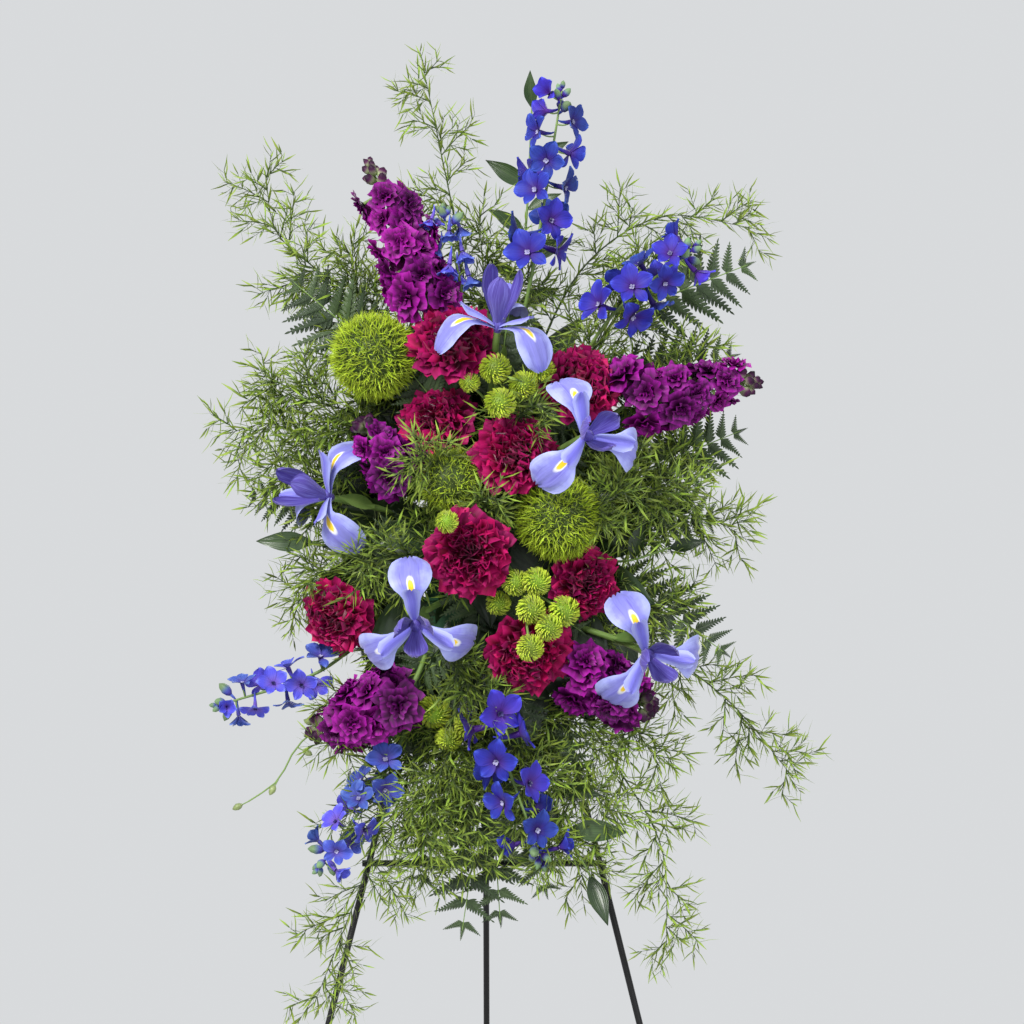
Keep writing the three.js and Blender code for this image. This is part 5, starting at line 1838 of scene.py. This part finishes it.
@dataclass
class Asparagus(Plant):
    """Feathery stems: by the points that they run through and the reach of their side branches."""

    stems: Sequence[tuple[Sequence[Place], float]] = (
        (((-70, 40, 1225), (-150, 40, 1350), (-205, 44, 1402), (-216, 50, 1462)), 84),
        (((-16, 42, 1250), (-26, 48, 1390), (-44, 54, 1485), (-60, 58, 1562)), 62),
        (((40, 40, 1250), (100, 50, 1370), (175, 58, 1416), (266, 62, 1404)), 66),
        (((-76, 50, 1150), (-150, 72, 1185), (-208, 80, 1212), (-246, 74, 1204)), 88),
        (((80, 50, 1110), (150, 78, 1124), (205, 82, 1124), (248, 76, 1106)), 74),
        (((72, 46, 1020), (165, 48, 992), (240, 56, 940), (301, 60, 868)), 64),
        (((-40, 64, 965), (-84, 108, 868), (-122, 132, 758), (-162, 146, 656)), 78),
        (((66, 60, 975), (128, 82, 880), (172, 98, 800), (176, 120, 706)), 62),
    )
    fillers: Sequence[tuple[Sequence[Place], float]] = (
        (((-20, 100, 1140), (-40, 150, 1165), (-62, 188, 1184)), 52),
        (((10, 100, 1190), (30, 150, 1215), (52, 184, 1228)), 46),
        (((-60, 80, 1050), (-110, 98, 1062), (-168, 104, 1070)), 60),
        (((-30, 100, 1090), (-75, 140, 1085), (-120, 160, 1082)), 58),
        (((50, 100, 1100), (96, 140, 1128), (134, 160, 1146)), 52),
        (((90, 80, 1140), (150, 120, 1150), (200, 130, 1140)), 70),
        (((100, 70, 1200), (170, 90, 1230), (215, 100, 1290)), 60),
        (((0, 80, 960), (-40, 130, 880), (-60, 150, 800)), 72),
        (((20, 80, 960), (40, 140, 870), (60, 160, 790)), 60),
        (((-90, 70, 1180), (-160, 100, 1230), (-215, 110, 1260)), 72),
        (((-80, 60, 1230), (-120, 70, 1320), (-130, 80, 1390)), 60),
        (((0, 50, 1240), (0, 60, 1340), (-5, 70, 1420)), 60),
        (((80, 50, 1230), (130, 60, 1330), (170, 70, 1380)), 60),
        (((-60, 80, 1010), (-110, 110, 960), (-150, 120, 900)), 60),
        (((70, 70, 1010), (130, 100, 940), (170, 110, 880)), 60),
        (((0, 90, 1120), (0, 140, 1126), (4, 172, 1140)), 44),
        (((-40, 90, 1000), (-20, 140, 970), (10, 165, 940)), 52),
        (((-60, 60, 1140), (-130, 84, 1150), (-200, 92, 1170)), 84),
        (((-70, 60, 1200), (-150, 74, 1230), (-206, 84, 1240)), 84),
        (((-60, 56, 1100), (-120, 70, 1070), (-190, 80, 1050)), 72),
        (((-50, 60, 1240), (-110, 60, 1330), (-180, 60, 1370)), 70),
        (((60, 60, 1210), (110, 66, 1290), (150, 70, 1350)), 70),
        (((50, 60, 1190), (130, 80, 1240), (190, 90, 1250)), 66),
        (((70, 60, 1120), (150, 84, 1150), (200, 90, 1180)), 70),
        (((60, 70, 1060), (130, 90, 1040), (196, 92, 1030)), 66),
        (((-30, 70, 980), (-60, 110, 900), (-84, 124, 820)), 76),
        (((-10, 70, 970), (-12, 120, 880), (-20, 130, 790)), 76),
        (((20, 70, 970), (50, 110, 880), (70, 118, 800)), 76),
        (((40, 70, 980), (90, 110, 900), (120, 118, 820)), 76),
        (((-20, 60, 960), (-50, 96, 860), (-70, 110, 770)), 70),
        (((30, 60, 960), (70, 96, 860), (96, 110, 770)), 70),
        (((0, 60, 1230), (20, 60, 1320), (60, 66, 1390)), 60),
    )
    needle: Sequence[Station] = ((0, 0, 0.032), (0.03, 0.5, 0.058), (0.14, 1.0, 0.006))
    branches: int = 5
    bare: float = 0.42
    twig_gap: float = 0.009
    seed: int = 180

    def build(self) -> None:
        """Build and dress each feathery stem, then the sprigs that fill the spray."""
        mesh = Petal(self.needle, across=1, along=2).model().mesh("asparagus_needle")
        needle = bpy.data.objects.new("asparagus_needle", mesh)
        finish = FuzzFinish("asparagus_needle", (0.045, 0.095, 0.007), (0.215, 0.31, 0.024)).material()
        rows = numbered("asparagus", self.stems) + numbered("asparagus_sprig", self.fillers)
        for seed, (name, knots, reach) in enumerate(rows, self.seed):
            points = [at(*knot) for knot in knots]
            route = Route.through([root_in_foam(points[0], ASPARAGUS_DEPTH), *points])
            twigs = Twigs()
            twigs.add(route.stretch(0, self.bare, 16), (1.7, 1.4))
            twigs.add(route.stretch(self.bare, 1.0, 24), (1.3, 0.8, 0.3), 1.0)
            self.branch_out(twigs, route, reach * MM, random.Random(seed))
            inputs = {"Sides": 3, "Needle": needle, "Spacing": 0.0026, "Length": 0.0190, "Tilt": 0.98}
            inputs |= {"Seed": seed, "Finish": finish}
            piece = self.nursery.needles.grow(twigs.scaffold(f"{name}_feathers"), inputs)
            declare(piece, Slot.ASPARAGUS, *([name] if seed < self.seed + len(self.stems) else []))
        bpy.data.objects.remove(needle)

    def branch_out(self, twigs: Twigs, route: Route, reach: float, dice: random.Random) -> None:
        """Add the side branches of a stem and the leafy twigs along them."""
        ranks = ((0.0, 1.0), (0.5, 0.62), (0.25, 0.5))
        stops = [(b + later, grown) for later, grown in ranks for b in range(self.branches)]
        for i, (b, grown) in enumerate(stops):
            share = min(self.bare + 0.5 * b / (self.branches - 1), 0.985)
            tangent = route.tangent(share)
            hand = 1 if i % 2 else -1
            side = tangent.cross(VIEWER).normalized() * hand
            length = reach * (1 - 0.45 * b / self.branches) * grown
            lift = 0.35 * math.cos(b * GOLDEN_TURN) if grown == 1.0 else dice.uniform(-0.2, 0.9)
            along = (side + tangent * 0.75 + VIEWER * lift).normalized()
            start = route.point(share)
            end = start + along * length - UP * (0.1 * length)
            knee = start.lerp(end, 0.5) + UP * (0.08 * length)
            branch = Route.bent(start, knee, end)
            twigs.add(branch.stretch(0, 1, 8), (0.8, 0.3), 1.0)
            count = max(3, round(length / self.twig_gap))
            for k in range(count):
                here = lerp(0.12, 0.92, k / (count - 1))
                ahead = branch.tangent(here)
                out = ahead.cross(VIEWER).normalized() * (1 if k % 2 else -1)
                aim = (out + ahead * 0.9 + jitter(dice, 0.45)).normalized()
                twig = aim * (lerp(0.026, 0.012, here) * dice.uniform(0.8, 1.2))
                root = branch.point(here)
                twigs.add([root, root + twig - UP * (0.08 * twig.length)], (0.35, 0.2), 1.0)


@dataclass
class BudStem(Plant):
    """A thin bare stem that hangs out low on the left, with a few green buds."""

    stem: Sequence[Place] = ((-128, 104, 944), (-180, 106, 900), (-200, 106, 866), (-228, 104, 846))
    buds: Sequence[tuple[float, Place]] = (
        (0.66, (-1, 0.1, 0.4)), (0.76, (1, 0.2, -0.5)), (0.88, (-0.5, 0.2, -0.9)), (1.0, (-1, 0.1, -0.5)),
    )

    def build(self) -> None:
        """Build and dress the stem and its buds."""
        twigs, places = Twigs(), Places(210)
        points = [at(*point) for point in self.stem]
        route = Route.through([root_in_foam(points[0], 45), *points])
        twigs.add(route.stretch(0, 1, 20), (1.3, 1.0, 0.8))
        for share, aim in self.buds:
            facing = way(*aim)
            spot = route.point(share) + facing * (8 * MM)
            twigs.add([route.point(share), spot], (0.6, 0.6))
            places.add(spot, squared(facing), 8 * MM)
        self.nursery.dress_stems(twigs, "bud_stem")
        bud = turned_model(((0.10, -0.2), (0.36, 0.1), (0.44, 0.5), (0.28, 0.9), (0.04, 1.15)), 7)
        group = self.nursery.models("green_bud", [bud])
        finish = LeafFinish("green_bud", (0.16, 0.22, 0.07), (0.38, 0.44, 0.18), veins=6, rib=0.1).material()
        self.nursery.dress_copies(places, "green_buds", Look(Slot.STEM, group, finish), 2)
        self.nursery.discard(group)


@dataclass
class FlowerStems(Plant):
    """The green under the carnations and irises: their stems, the cups and the sheaths."""

    carnations: Carnations
    irises: Irises
    cup_length: float = 26.0
    cup: Sequence[float] = (2.6, 5.5, 7.2, 7.8)
    edge: float = 28.0

    def build(self) -> None:
        """Build and dress the stems as one piece."""
        twigs, sheaths = Twigs(), Places(200)
        reach = FOAM_HALF_HEIGHT - self.edge
        flowers = [(z, at(x, out, z), size, None) for x, out, z, size in self.carnations.blooms]
        flowers += [(place[2], at(*place), 0.0, axis) for place, axis, _ in self.irises.blooms]
        flowers.sort(key=lambda flower: flower[0])
        for i, (_, centre, size, axis) in enumerate(flowers):
            root = on_frame(0, (i / (len(flowers) - 1) - 0.5) * 2 * reach, HEART_DEPTH)
            facing = way(*axis) if axis else carnation_facing(centre)
            neck = centre if axis else centre - facing * ((0.3 * size + self.cup_length) * MM)
            route = Route.bent(root, neck - facing * (0.35 * (neck - root).length), neck)
            twigs.add(route.stretch(0, 1, 20), (3.0, 3.0, 3.4) if axis else (2.4, 2.2, 2.3))
            if axis:
                turn = squared(route.tangent(0.74), Vector((0.5, -1, 0.2)))
                sheaths.add(route.point(0.74), turn, MM)
            else:
                top = neck + facing * (self.cup_length * MM)
                twigs.add([neck.lerp(top, k / 6) for k in range(7)], self.cup)
        piece = self.nursery.dress_stems(twigs, "flower_stems_fresh", 10)
        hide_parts("flower_stems")
        blade = Petal(((2, 0, 3), (5, 12, 6.5), (8, 26, 6), (12, 42, 0.5)), 6, 8, cup=-0.5).model()
        sheath = Model().join(blade, spin_z(-math.pi / 2))
        group = self.nursery.models("iris_sheath", [sheath])
        finish = LeafFinish(
            "iris_sheath", (0.10, 0.19, 0.04), (0.26, 0.36, 0.10), veins=12, rib=0.1
        ).material()
        self.nursery.dress_copies(sheaths, "iris_sheaths", Look(Slot.STEM, group, finish), 1)
        self.nursery.discard(group)


# Hard parts and studio


@dataclass(frozen=True)
class HardFinishes:
    """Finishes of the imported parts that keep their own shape."""

    rods: Sequence[str] = ("left_leg", "right_leg", "hinge_rod", "stop_rod", "lower_crossbar", "rear_leg")

    def dress(self) -> None:
        """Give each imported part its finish."""
        steel = SolidFinish(
            "black_enamel", (0.004, 0.004, 0.0045), (0.010, 0.010, 0.011),
            grain=600, roughness=0.30, relief=0.12, coat=0.06, specular=0.25,
        ).material()
        tie = SolidFinish(
            "black_nylon", (0.010, 0.010, 0.010), (0.030, 0.030, 0.030), roughness=0.4
        ).material()
        foam = SolidFinish(
            "wet_foam", (0.010, 0.042, 0.018), (0.035, 0.120, 0.045),
            grain=1400, clouds=90, roughness=0.85, relief=1.2,
        ).material()
        cage = SolidFinish("green_cage", (0.015, 0.10, 0.03), (0.03, 0.17, 0.06), roughness=0.4).material()
        looks = {name: steel for name in self.rods}
        looks |= {"cable_tie_left": tie, "cable_tie_right": tie, "foam_block": foam, "foam_cage": cage}
        for name, material in looks.items():
            node = frame["nodes"][name]
            node.data.materials.clear()
            node.data.materials.append(material)
            LOG.info("%s: %s", name, material.name)


@dataclass(frozen=True)
class Studio:
    """Floor, light and the camera of the photograph."""

    camera_place: Place = (0.0141741, -3.2719089, 1.126)
    lens: float = 112.5
    sensor: float = 36.0
    world: Colour = (0.93, 0.95, 0.97)

    def build(self) -> None:
        """Build the studio, with plain colours as the eye sees them in daylight."""
        bpy.context.scene.view_settings.view_transform = "Standard"
        data = bpy.data.cameras.new("camera")
        data.lens, data.sensor_width = self.lens, self.sensor
        camera = bpy.data.objects.new("camera", data)
        camera.location = self.camera_place
        camera.rotation_euler = (math.pi / 2, 0, 0)
        bpy.context.scene.collection.objects.link(camera)
        bpy.context.scene.camera = camera
        self.lamp("key", (-1.5, -2.6, 3.0), 1.0, 125, (1.0, 0.985, 0.96))
        self.lamp("fill", (2.2, -2.2, 1.6), 2.0, 26, (0.95, 0.97, 1.0))
        self.lamp("rim", (0.8, 2.0, 2.8), 1.6, 35, (1.0, 1.0, 1.0))
        world = bpy.data.worlds.new("studio")
        world.use_nodes = True
        backdrop = world.node_tree.nodes["Background"]
        backdrop.inputs["Color"].default_value = (*self.world, 1.0)
        backdrop.inputs["Strength"].default_value = 0.74
        bpy.context.scene.world = world
        self.floor()

    @staticmethod
    def lamp(name: str, place: Place, size: float, power: float, colour: Colour) -> None:
        """Add a soft lamp that looks at the middle of the spray."""
        data = bpy.data.lights.new(name, "AREA")
        data.shape, data.size, data.energy, data.color = "DISK", size, power, colour
        lamp = bpy.data.objects.new(name, data)
        lamp.location = place
        aim = Vector((0, -0.15, 1.1)) - Vector(place)
        lamp.rotation_euler = aim.to_track_quat("-Z", "Y").to_euler()
        bpy.context.scene.collection.objects.link(lamp)

    @staticmethod
    def floor() -> None:
        """Add the plain pale floor."""
        radius, sides = 2.6, 64
        mesh = bpy.data.meshes.new("floor")
        rim = [(radius * math.cos(t), radius * math.sin(t), 0.0) for t in turns_round(sides)]
        mesh.from_pydata(rim, [], [tuple(range(sides))])
        floor = bpy.data.objects.new("floor", mesh)
        bpy.context.scene.collection.objects.link(floor)
        material = SolidFinish(
            "pale_floor", (0.50, 0.50, 0.50), (0.55, 0.55, 0.545), grain=60, clouds=1.2, relief=0.0
        ).material()
        mesh.materials.append(material)


def main() -> None:
    """Build the spray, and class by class."""
    logging.basicConfig(level=logging.INFO, format="%(name)s %(message)s")
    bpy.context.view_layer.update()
    Studio().build()
    HardFinishes().dress()
    nursery = Nursery()
    carnations, irises = Carnations(nursery), Irises(nursery)
    plants = (
        carnations, irises, FlowerStems(nursery, carnations, irises), Stocks(nursery),
        Delphiniums(nursery), GreenDianthus(nursery), ButtonPoms(nursery), Leatherleaf(nursery),
        Ruscus(nursery), BroadLeaves(nursery), Asparagus(nursery), BudStem(nursery),
    )
    for plant in plants:
        plant.build()
        LOG.info("%s built", type(plant).__name__)


if __name__ == "__main__":
    main()
